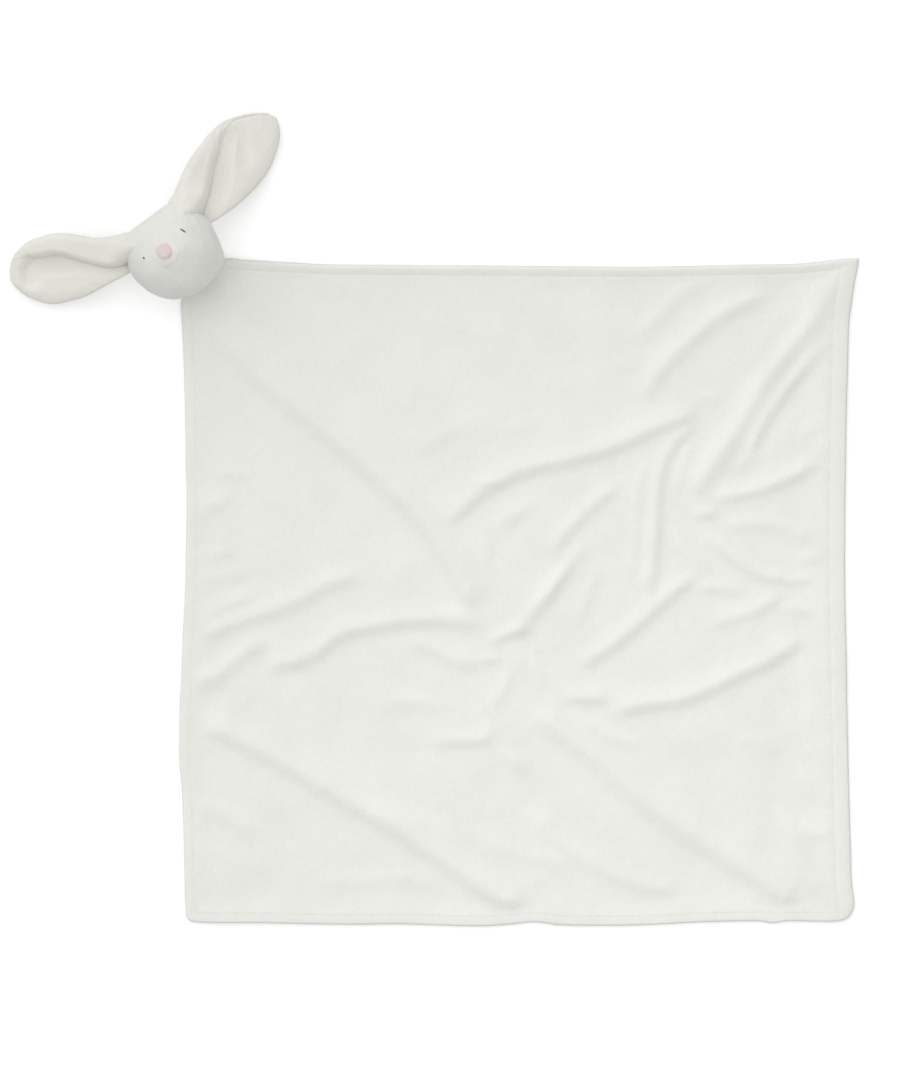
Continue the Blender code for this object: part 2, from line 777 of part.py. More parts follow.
def build_ear(side_name, root_azimuth, azimuth, crown_half, outer_half, crown_sign):
    """Builds an ear and returns its hinge's place and axis; a positive turn lifts the ear."""
    out = flat_vector(root_azimuth)
    along_axis = flat_vector(azimuth)
    crown_side = up_axis.cross(along_axis) * crown_sign
    root = Vector((head_centre.x, head_centre.y, ear_root_height)) + out * seated_reach(out, crown_side)
    first = (ear_root_roll_radius + fit_gap) / ear_length
    lie = ear_outer_cloth + 2.0 * fit_gap - root.z
    columns = ear_flap_columns + ear_rim_columns + ear_return_columns

    def place(column, row):
        spacing = 1.0 - (1.0 - row / ear_rows) ** ear_row_spacing_power
        share = mix(first, ear_last_row_share, spacing)
        sideways, height = ear_section(share, column, crown_half, outer_half)
        base = mix(-ear_rim_root_radius, lie, smooth_step((share - first) / ear_drape_share))
        return along_axis * (share * ear_length) + crown_side * sideways + up_axis * (base + height)

    at_root = Matrix.Translation(root)
    flip = crown_sign > 0.0
    half_gap = fit_gap / 2.0
    outer = grid_surface(
        "ear_%s_back" % side_name, columns, ear_rows, place, plush, at_root, flip=flip, lift=-half_gap
    )
    thicken(outer, ear_outer_cloth, -1.0)
    lining = grid_surface(
        "ear_%s_lining" % side_name, columns, ear_rows, place, lining_plush, at_root, flip=flip, lift=half_gap
    )
    thicken(lining, ear_lining_cloth, 1.0)
    roll_frame = frame_at(root, along_axis, up_axis, along_axis.cross(up_axis))
    rounded_rod("ear_%s_root_seam" % side_name, ear_root_roll_radius, ear_root_roll_length, roll_frame)
    return root, along_axis.cross(up_axis)


left_root, left_lift_axis = build_ear(
    "left", left_ear_root_azimuth, left_ear_azimuth, left_ear_crown_half, left_ear_outer_half, -1.0
)
right_root, right_lift_axis = build_ear(
    "right", right_ear_root_azimuth, right_ear_azimuth, right_ear_crown_half, right_ear_outer_half, 1.0
)


# Hinges: an empty on each joint's axis, its Z along the axis, that carries the pieces that move
def hinge_empty(name, place, along, carrier=None):
    empty = bpy.data.objects.new(name, None)
    empty.empty_display_size = neck_roll_length
    lovey.objects.link(empty)
    empty.matrix_world = Matrix.Translation(place) @ along.to_track_quat("Z", "Y").to_matrix().to_4x4()
    if carrier is not None:
        carry(carrier, empty)
    print(name, "at", [round(value, 6) for value in place], "along", [round(value, 6) for value in along])
    return empty


def carry(empty, piece):
    piece.parent = empty
    piece.matrix_parent_inverse = empty.matrix_world.inverted()


neck_hinge = hinge_empty("neck_hinge", neck_point, neck_along)
left_ear_hinge = hinge_empty("left_ear_hinge", left_root, left_lift_axis, neck_hinge)
right_ear_hinge = hinge_empty("right_ear_hinge", right_root, right_lift_axis, neck_hinge)

for piece in list(lovey.objects) + list(cutters.objects):
    if piece.type == "EMPTY" or piece.name.startswith("blanket"):
        continue
    if piece.name.startswith("ear_left"):
        carry(left_ear_hinge, piece)
    elif piece.name.startswith("ear_right"):
        carry(right_ear_hinge, piece)
    else:
        carry(neck_hinge, piece)
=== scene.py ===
"""Looks of the rabbit comfort blanket, laid flat and seen from straight above.

Metres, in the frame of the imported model. Shapes that follow the photograph are given by its pixels,
x to the right and y down, and to_world turns these into metres.
"""

import json
import math

import bmesh
import bpy
import numpy as np
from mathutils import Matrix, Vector, kdtree, noise


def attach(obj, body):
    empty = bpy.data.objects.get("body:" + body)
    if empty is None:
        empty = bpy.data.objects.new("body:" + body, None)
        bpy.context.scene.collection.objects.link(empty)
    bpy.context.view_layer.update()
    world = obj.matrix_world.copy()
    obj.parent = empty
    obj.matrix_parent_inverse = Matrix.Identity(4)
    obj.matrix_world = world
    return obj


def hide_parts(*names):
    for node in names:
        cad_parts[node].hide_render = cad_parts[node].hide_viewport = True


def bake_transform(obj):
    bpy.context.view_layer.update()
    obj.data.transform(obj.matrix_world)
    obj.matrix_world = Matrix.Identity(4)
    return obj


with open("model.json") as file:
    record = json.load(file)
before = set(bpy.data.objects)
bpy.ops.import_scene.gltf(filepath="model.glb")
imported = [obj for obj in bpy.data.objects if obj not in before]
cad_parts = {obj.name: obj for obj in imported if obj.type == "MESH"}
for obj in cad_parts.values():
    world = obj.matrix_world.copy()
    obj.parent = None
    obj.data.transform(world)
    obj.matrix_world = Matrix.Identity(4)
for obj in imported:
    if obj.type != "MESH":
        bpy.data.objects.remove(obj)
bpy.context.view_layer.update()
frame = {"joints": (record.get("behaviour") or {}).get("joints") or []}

# The photograph: size of a pixel on the object, and the pixel over the model's origin
PIXEL = 0.00084
ORIGIN_PIXEL = (517.0, 593.0)
PICTURE_SIZE = (900.0, 1080.0)

# Thickness of the blanket's cloth and of each ear layer, and the gap between an ear's two layers
PANEL_CLOTH = 0.0024
EAR_CLOTH = 0.0023
LAYER_GAP = 0.00015

UP = np.array((0.0, 0.0, 1.0))
NOISE_SHIFT = np.array((7.31, 3.17, 1.73))
JOINTS = {joint["name"]: joint for joint in frame["joints"]}


# Helpers
def to_world(points):
    """Pixels of the photograph as x and y in metres."""
    return (np.asarray(points, float) - ORIGIN_PIXEL) * (PIXEL, -PIXEL)


def mix(first, second, share):
    return first + (second - first) * share


def smooth(share):
    """From 0 to 1 with a level start and end."""
    share = np.clip(share, 0.0, 1.0)
    return share * share * (3.0 - 2.0 * share)


def quarter_round(share):
    """From 0 to 1 along a quarter circle, steep at the start and level at the end."""
    return np.sqrt(1.0 - (1.0 - np.clip(share, 0.0, 1.0)) ** 2)


def bell(offset):
    """1 at an offset of 0, and nearly 0 beyond 2."""
    return np.exp(-(offset**2))


def unit(vectors):
    """Vectors, or a single one, with a length of 1."""
    return vectors / np.linalg.norm(vectors, axis=-1, keepdims=True)


def compass(azimuth, elevation):
    """Unit vector with an azimuth and an elevation in degrees."""
    azimuth, elevation = math.radians(azimuth), math.radians(elevation)
    flat = math.cos(elevation)
    return np.array((math.cos(azimuth) * flat, math.sin(azimuth) * flat, math.sin(elevation)))


def spline(points, samples=12):
    """A smooth curve through points, and the distance along it at each of its points."""
    points = np.asarray(points, float)
    ends = np.vstack([2.0 * points[0] - points[1], points, 2.0 * points[-1] - points[-2]])
    share = np.linspace(0.0, 1.0, samples, endpoint=False)[:, None]
    pieces = []
    for p0, p1, p2, p3 in zip(ends, ends[1:], ends[2:], ends[3:]):
        second = (2.0 * p0 - 5.0 * p1 + 4.0 * p2 - p3) * share**2
        third = (-p0 + 3.0 * p1 - 3.0 * p2 + p3) * share**3
        pieces.append((2.0 * p1 + (p2 - p0) * share + second + third) / 2.0)
    curve = np.vstack(pieces + [points[-1:]])
    return curve, run_along(curve)


def run_along(path):
    """Distance along a path at each of its points."""
    return np.concatenate([[0.0], np.cumsum(np.linalg.norm(np.diff(path, axis=0), axis=1))])


def on_spline(points, shares):
    """Points at shares of the length of the curve through points."""
    curve, along = spline(points)
    wanted = np.asarray(shares) * along[-1]
    return np.stack([np.interp(wanted, along, column) for column in curve.T], axis=-1)


def unevenness(points, layers):
    """Sum of layers of smooth noise at points; each layer has a height, waves per metre and a seed."""
    points = np.asarray(points)
    total = 0.0
    for height, waves, seed in layers:
        shift = Vector(NOISE_SHIFT * seed)
        values = [noise.noise(Vector(point) * waves + shift) for point in points.reshape(-1, 3).tolist()]
        total = total + height * np.array(values).reshape(points.shape[:-1])
    return total


# Objects and meshes
def add_object(name, data):
    thing = bpy.data.objects.new(name, data)
    bpy.context.scene.collection.objects.link(thing)
    return thing


def dressed(mesh, material):
    """A new smooth object of a mesh, with a material."""
    mesh.materials.append(material)
    mesh.shade_smooth()
    return add_object(mesh.name, mesh)


def mesh_object(name, verts, faces, material):
    mesh = bpy.data.meshes.new(name)
    mesh.from_pydata([tuple(vert) for vert in verts], [], faces)
    mesh.validate()
    return dressed(mesh, material)


def mesh_from(name, bm):
    mesh = bpy.data.meshes.new(name)
    bm.to_mesh(mesh)
    bm.free()
    return mesh


def set_points(mesh, points):
    mesh.vertices.foreach_set("co", np.asarray(points, np.float32).ravel())
    mesh.update()


def get_points(mesh):
    points = np.empty(len(mesh.vertices) * 3, np.float32)
    mesh.vertices.foreach_get("co", points)
    return points.reshape(-1, 3).astype(float)


def grid_faces(rows, columns, start=0, flip=False):
    index = np.arange(rows * columns).reshape(rows, columns) + start
    a, b = index[:-1, :-1].ravel(), index[:-1, 1:].ravel()
    c, d = index[1:, 1:].ravel(), index[1:, :-1].ravel()
    return np.stack([a, d, c, b] if flip else [a, b, c, d], axis=1).tolist()


def rim_loop(rows, columns):
    """Grid indices round the rim, anticlockwise from the first corner."""
    index = np.arange(rows * columns).reshape(rows, columns)
    low, right = index[0, :-1], index[:-1, -1]
    high, left = index[-1, :0:-1], index[:0:-1, 0]
    return np.concatenate([low, right, high, left])


def closed_layer(name, upper, lower, material):
    """A closed body between two grids of points of the same size."""
    rows, columns = upper.shape[:2]
    count = rows * columns
    faces = grid_faces(rows, columns) + grid_faces(rows, columns, count, flip=True)
    rim = rim_loop(rows, columns)
    following = np.roll(rim, -1)
    sides = np.stack([rim, rim + count, following + count, following], axis=1)
    verts = np.concatenate([upper.reshape(-1, 3), lower.reshape(-1, 3)])
    return mesh_object(name, verts, faces + sides.tolist(), material)


def coarse_closed_layer(name, fine, coarse, step, material, flip=False):
    """A closed body of a fine grid and a coarse one that holds every step-th line of it."""
    rows, columns = fine.shape[:2]
    faces = grid_faces(rows, columns, flip=flip)
    index = np.arange(rows * columns).reshape(rows, columns)
    low_index = index[::step, ::step].copy()
    low_rows, low_columns = low_index.shape
    inner = coarse[::step, ::step][1:-1, 1:-1].reshape(-1, 3)
    numbers = rows * columns + np.arange(len(inner))
    low_index[1:-1, 1:-1] = numbers.reshape(low_rows - 2, low_columns - 2)
    for row in range(low_rows - 1):
        for column in range(low_columns - 1):
            face = coarse_face(index, low_index, row, column, step)
            faces.append(face if flip else face[::-1])
    return mesh_object(name, np.concatenate([fine.reshape(-1, 3), inner]), faces, material)


def coarse_face(index, low_index, row, column, step):
    """One coarse face, with the fine points of the rim on its sides."""
    top, left = row * step, column * step
    last_row, last_column = index.shape[0] - 1, index.shape[1] - 1
    face = [low_index[row, column]]
    if row == 0:
        face += index[0, left + 1 : left + step].tolist()
    face.append(low_index[row, column + 1])
    if left + step == last_column:
        face += index[top + 1 : top + step, last_column].tolist()
    face.append(low_index[row + 1, column + 1])
    if top + step == last_row:
        face += index[last_row, left + step - 1 : left : -1].tolist()
    face.append(low_index[row + 1, column])
    if column == 0:
        face += index[top + step - 1 : top : -1, 0].tolist()
    return [int(number) for number in face]


def tube(name, path, radius, sides, material):
    """A closed round tube along points, with a twist-free frame."""
    along = unit(np.gradient(path, axis=0))
    across = unit(np.cross(along, UP))
    above = np.cross(across, along)
    angles = np.linspace(0.0, 2.0 * math.pi, sides, endpoint=False)[None, :, None]
    rings = path[:, None] + radius * (np.cos(angles) * across[:, None] + np.sin(angles) * above[:, None])
    count = len(path)
    index = np.arange(count * sides).reshape(count, sides)
    closed = np.column_stack([index, index[:, 0]])
    corners = (closed[:-1, :-1], closed[:-1, 1:], closed[1:, 1:], closed[1:, :-1])
    faces = np.stack([corner.ravel() for corner in corners], axis=1).tolist()
    faces += [index[0, ::-1].tolist(), index[-1].tolist()]
    return mesh_object(name, rings.reshape(-1, 3), faces, material)


# Shader nodes
WHITE = (1.0, 1.0, 1.0, 1.0)


def add_node(tree, kind, values=None, links=None):
    """A new node, with plain values and linked sources for its inputs."""
    node = tree.nodes.new("ShaderNode" + kind)
    for key, value in (values or {}).items():
        node.inputs[key].default_value = value
    for key, source in (links or {}).items():
        tree.links.new(source, node.inputs[key])
    return node


def math_node(tree, operation, first, second):
    node = add_node(tree, "Math", links={0: first, 1: second})
    node.operation = operation
    return node.outputs[0]


def background_seen(tree):
    """1 for the rays that show the background itself, which are camera, glossy and see-through rays."""
    outputs = add_node(tree, "LightPath").outputs
    seen = math_node(tree, "MAXIMUM", outputs["Is Camera Ray"], outputs["Is Glossy Ray"])
    return math_node(tree, "MAXIMUM", seen, outputs["Is Transmission Ray"])


def grain(tree, place, scale, detail, roughness=0.5, lean=None):
    """Noise; lean is the turn of its grain in radians, and its scale along the grain."""
    if lean is not None:
        turn = {"Rotation": (0.0, 0.0, lean[0]), "Scale": (1.0, lean[1], 1.0)}
        place = add_node(tree, "Mapping", turn, {"Vector": place}).outputs[0]
    settings = {"Scale": scale, "Detail": detail, "Roughness": roughness}
    return add_node(tree, "TexNoise", settings, {"Vector": place}).outputs["Fac"]


def ramp(tree, factor, low, high, first, second):
    """Blend between two colours as factor goes from low to high."""
    node = add_node(tree, "ValToRGB", links={0: factor})
    node.color_ramp.interpolation = "EASE"
    for element, position, colour in zip(node.color_ramp.elements, (low, high), (first, second)):
        element.position = position
        element.color = (*colour, 1.0)
    return node.outputs[0]


def multiplied(tree, first, second):
    """The product of two colours."""
    node = add_node(tree, "Mix")
    node.data_type = "RGBA"
    node.blend_type = "MULTIPLY"
    node.inputs["Factor"].default_value = 1.0
    tree.links.new(first, node.inputs["A"])
    tree.links.new(second, node.inputs["B"])
    return node.outputs["Result"]


def bump(tree, height, strength, distance, before=None):
    links = {"Height": height}
    if before is not None:
        links["Normal"] = before
    return add_node(tree, "Bump", {"Strength": strength, "Distance": distance}, links).outputs[0]


# Camera, light and floor
CAMERA_HEIGHT = 16.0
CAMERA_CLIP = 100.0
SENSOR_MM = 36.0
ROOM_LIGHT = 0.572
KEY_AZIMUTH, KEY_ELEVATION, KEY_SPREAD = 124.0, 44.0, 95.0
KEY_STRENGTH = 1.42
OVERHEAD_PLACE = (0.08, -0.12, 0.85)
OVERHEAD_SIZE = 0.5
OVERHEAD_POWER = 1.3
FLOOR_HALF = 6.0
FLOOR_HEIGHT = -0.0004
FLOOR_WHITE = (0.76, 0.76, 0.76, 1.0)
FLOOR_GLOW = 0.37


def build_camera():
    """A camera so far above that the head shows no parallax."""
    data = bpy.data.cameras.new("camera")
    data.sensor_fit = "VERTICAL"
    data.sensor_height = SENSOR_MM
    data.lens = SENSOR_MM * CAMERA_HEIGHT / (PICTURE_SIZE[1] * PIXEL)
    data.clip_end = CAMERA_CLIP
    camera = add_object("camera", data)
    camera.location = (*to_world(np.array(PICTURE_SIZE) / 2.0), CAMERA_HEIGHT)
    bpy.context.scene.camera = camera


def build_key_softbox():
    """A large far lamp: its light falls evenly over the whole object, with soft shadows."""
    data = bpy.data.lights.new("key_softbox", "SUN")
    data.angle = math.radians(KEY_SPREAD)
    data.energy = KEY_STRENGTH
    towards = Vector(compass(KEY_AZIMUTH, KEY_ELEVATION))
    add_object("key_softbox", data).rotation_euler = towards.to_track_quat("Z", "Y").to_euler()


def build_overhead_softbox():
    data = bpy.data.lights.new("overhead_softbox", "AREA")
    data.shape = "DISK"
    data.size = OVERHEAD_SIZE
    data.energy = OVERHEAD_POWER
    add_object("overhead_softbox", data).location = OVERHEAD_PLACE


def build_world():
    world = bpy.data.worlds.new("studio")
    bpy.context.scene.world = world
    world.use_nodes = True
    tree = world.node_tree
    tree.nodes.clear()
    lit = add_node(tree, "Background", {"Color": WHITE, "Strength": ROOM_LIGHT})
    shown = add_node(tree, "Background", {"Color": WHITE, "Strength": 1.0})
    chosen = {0: background_seen(tree), 1: lit.outputs[0], 2: shown.outputs[0]}
    both = add_node(tree, "MixShader", links=chosen)
    add_node(tree, "OutputWorld", links={"Surface": both.outputs[0]})


def build_floor():
    material = bpy.data.materials.new("floor_white")
    material.use_nodes = True
    tree = material.node_tree
    tree.nodes.clear()
    paint = add_node(tree, "BsdfDiffuse", {"Color": FLOOR_WHITE})
    strength = add_node(tree, "Math", {1: FLOOR_GLOW}, {0: background_seen(tree)})
    strength.operation = "MULTIPLY"
    glow = add_node(tree, "Emission", {"Color": WHITE}, {"Strength": strength.outputs[0]})
    both = add_node(tree, "AddShader", links={0: paint.outputs[0], 1: glow.outputs[0]})
    add_node(tree, "OutputMaterial", links={"Surface": both.outputs[0]})
    bm = bmesh.new()
    bmesh.ops.create_grid(bm, x_segments=1, y_segments=1, size=FLOOR_HALF)
    floor = dressed(mesh_from("floor", bm), material)
    floor.location.z = FLOOR_HEIGHT


bpy.context.scene.view_settings.view_transform = "Standard"
build_camera()
build_overhead_softbox()
build_world()
build_key_softbox()
build_floor()


# Materials
def new_material(name, values):
    """A material with values for its shader's inputs, its node tree, its shader and texture places."""
    material = bpy.data.materials.new(name)
    material.use_nodes = True
    tree = material.node_tree
    shader = tree.nodes["Principled BSDF"]
    for key, value in values.items():
        shader.inputs[key].default_value = value
    return material, tree, shader, add_node(tree, "TexCoord").outputs["Object"]


def plush(name, light, dark, pile=1.0, sheen=0.12):
    """Short-pile plush: soft patches where the pile leans, clumps of fibres with painted shade in the
    hollows between them, and fine fibre ends.
    """
    material, tree, shader, place = new_material(name, {
        "Roughness": 0.92,
        "Specular IOR Level": 0.15,
        "Sheen Weight": sheen,
        "Sheen Roughness": 0.35,
        "Sheen Tint": (1.0, 0.99, 0.97, 1.0),
    })
    leaning = grain(tree, place, 26.0, 3.0)
    clumps = grain(tree, place, 420.0, 4.0, 0.65, lean=(0.6, 0.55))
    fibres = grain(tree, place, 1500.0, 3.0, 0.7, lean=(0.6, 0.35))
    patches = ramp(tree, leaning, 0.35, 0.68, light, dark)
    # Painted shade: the colour is a little darker where the clumps' bump is low, in the hollows between the
    # clumps
    shade = ramp(tree, clumps, 0.30, 0.62, (0.975, 0.973, 0.968), (1.0, 1.0, 1.0))
    tree.links.new(multiplied(tree, patches, shade), shader.inputs["Base Color"])
    rough = bump(tree, clumps, 0.38, 0.0007 * pile)
    tree.links.new(bump(tree, fibres, 0.30, 0.00025, rough), shader.inputs["Normal"])
    return material


def thread(name, light, dark, pitch):
    """Sewing or embroidery thread with its twist."""
    material, tree, shader, place = new_material(name, {"Roughness": 0.62, "Sheen Weight": 0.15})
    twist = grain(tree, place, pitch, 2.0, lean=(0.8, 0.3))
    tree.links.new(ramp(tree, twist, 0.35, 0.65, dark, light), shader.inputs["Base Color"])
    tree.links.new(bump(tree, twist, 0.4, 0.0002), shader.inputs["Normal"])
    return material


def black_plastic(name):
    material, tree, shader, place = new_material(name, {"Roughness": 0.18, "Coat Weight": 0.3})
    cloudy = grain(tree, place, 300.0, 2.0)
    colour = ramp(tree, cloudy, 0.4, 0.6, (0.008, 0.007, 0.006), (0.02, 0.015, 0.012))
    tree.links.new(colour, shader.inputs["Base Color"])
    return material


blanket_plush = plush("blanket_plush", (0.812, 0.810, 0.776), (0.797, 0.793, 0.755), sheen=0.6)
back_plush = plush("blanket_back_plush", (0.790, 0.787, 0.752), (0.760, 0.755, 0.715))
head_plush = plush("head_plush", (0.768, 0.768, 0.732), (0.744, 0.742, 0.702), pile=1.3)
ear_plush = plush("ear_plush", (0.776, 0.774, 0.720), (0.752, 0.747, 0.688), pile=1.2)
seam_white = thread("white_sewing_thread", (0.80, 0.79, 0.76), (0.66, 0.65, 0.62), 1800.0)
nose_pink = thread("nose_pink_thread", (0.76, 0.64, 0.63), (0.70, 0.56, 0.555), 1400.0)
mouth_beige = thread("mouth_thread", (0.758, 0.742, 0.708), (0.70, 0.68, 0.645), 1600.0)
eye_black = black_plastic("eye_black_plastic")


# Outline of the blanket, in pixels
TOP_LINE = (
    (183.5, 262.5), (227, 258.5), (246, 260), (292, 262.5), (331, 264.5), (400, 265), (460, 265.5),
    (522, 266), (580, 266.5), (640, 267), (690, 266), (732, 265), (793, 264), (825, 261), (842, 259),
    (859, 258.5),
)
BOTTOM_LINE = (
    (187, 918), (195, 922), (230, 923), (266, 923), (310, 924), (361, 924.5), (400, 924), (469, 926),
    (502, 925), (535, 922), (559, 925), (600, 925.5), (640, 925), (704, 922), (756, 921), (772, 923),
    (788, 921), (820, 921.5), (839, 921), (849, 917),
)
LEFT_LINE = (
    (187, 918), (185.5, 905), (184.7, 875), (183.6, 827), (182, 788), (179.5, 759), (180, 700),
    (181, 690), (183, 634), (185, 597), (186, 557), (187, 496), (186, 470), (185.5, 423), (184, 362),
    (182.5, 328), (181, 302), (183.5, 262.5),
)
RIGHT_LINE = (
    (849, 917), (853.5, 908), (854, 899), (851.5, 880), (850.5, 843), (849, 796), (848, 748),
    (847, 700), (846.6, 664), (845, 588), (845, 511), (845.5, 480), (846.6, 408), (848, 362),
    (849, 324), (852, 301), (854, 286), (857.5, 268), (859, 258.5),
)

# Width and height of the blanket laid flat, size of the inner cells, and how many of a fine grid's cells
# are one of the coarse grid's
SPAN = (0.566, 0.556)
CELL = 0.0020
COARSE_STEP = 4

# Border widths to the stitch line, and offsets of the fine grid lines in border widths
BORDERS = {"left": 0.0085, "right": 0.0140, "low": 0.0085, "high": 0.0085}
BORDER_LINES = (
    0.0, 0.035, 0.08, 0.14, 0.22, 0.32, 0.43, 0.55, 0.66, 0.76, 0.84, 0.9, 0.95, 1.0, 1.05, 1.1, 1.17,
    1.26, 1.38, 1.53, 1.72, 1.95, 2.22, 2.5,
)


def grid_lines(first, last, span):
    """Places of the grid lines over a side, fine at both borders, for whole coarse cells."""
    start, end = BORDER_LINES[-1] * first, span - BORDER_LINES[-1] * last
    cells = int((end - start) / CELL)
    cells += (-(cells + 2 * (len(BORDER_LINES) - 1))) % COARSE_STEP
    near = [line * first for line in BORDER_LINES]
    far = [span - line * last for line in reversed(BORDER_LINES)]
    middle = np.linspace(start, end, cells + 1)[1:-1]
    return np.concatenate([near, middle, far])


class Sheet:
    """Places and edge distances of a grid over the laid blanket."""

    def __init__(self):
        across = grid_lines(BORDERS["left"], BORDERS["right"], SPAN[0])
        up = grid_lines(BORDERS["low"], BORDERS["high"], SPAN[1])
        self.across, self.up = np.meshgrid(across, up)
        u, v = (self.across / SPAN[0])[..., None], (self.up / SPAN[1])[..., None]
        low, high = (to_world(on_spline(line, across / SPAN[0])) for line in (BOTTOM_LINE, TOP_LINE))
        left, right = (to_world(on_spline(line, up / SPAN[1])) for line in (LEFT_LINE, RIGHT_LINE))
        rows = mix(low[None], high[None], v)
        columns = mix(left[:, None], right[:, None], u)
        corners = mix(mix(low[0], low[-1], u), mix(high[0], high[-1], u), v)
        self.flat = rows + columns - corners
        self.pixels = self.flat / (PIXEL, -PIXEL) + ORIGIN_PIXEL
        self.edges = np.stack([
            self.across / BORDERS["left"],
            (SPAN[0] - self.across) / BORDERS["right"],
            self.up / BORDERS["low"],
            (SPAN[1] - self.up) / BORDERS["high"],
        ])
        self.edge = self.edges.min(axis=0)


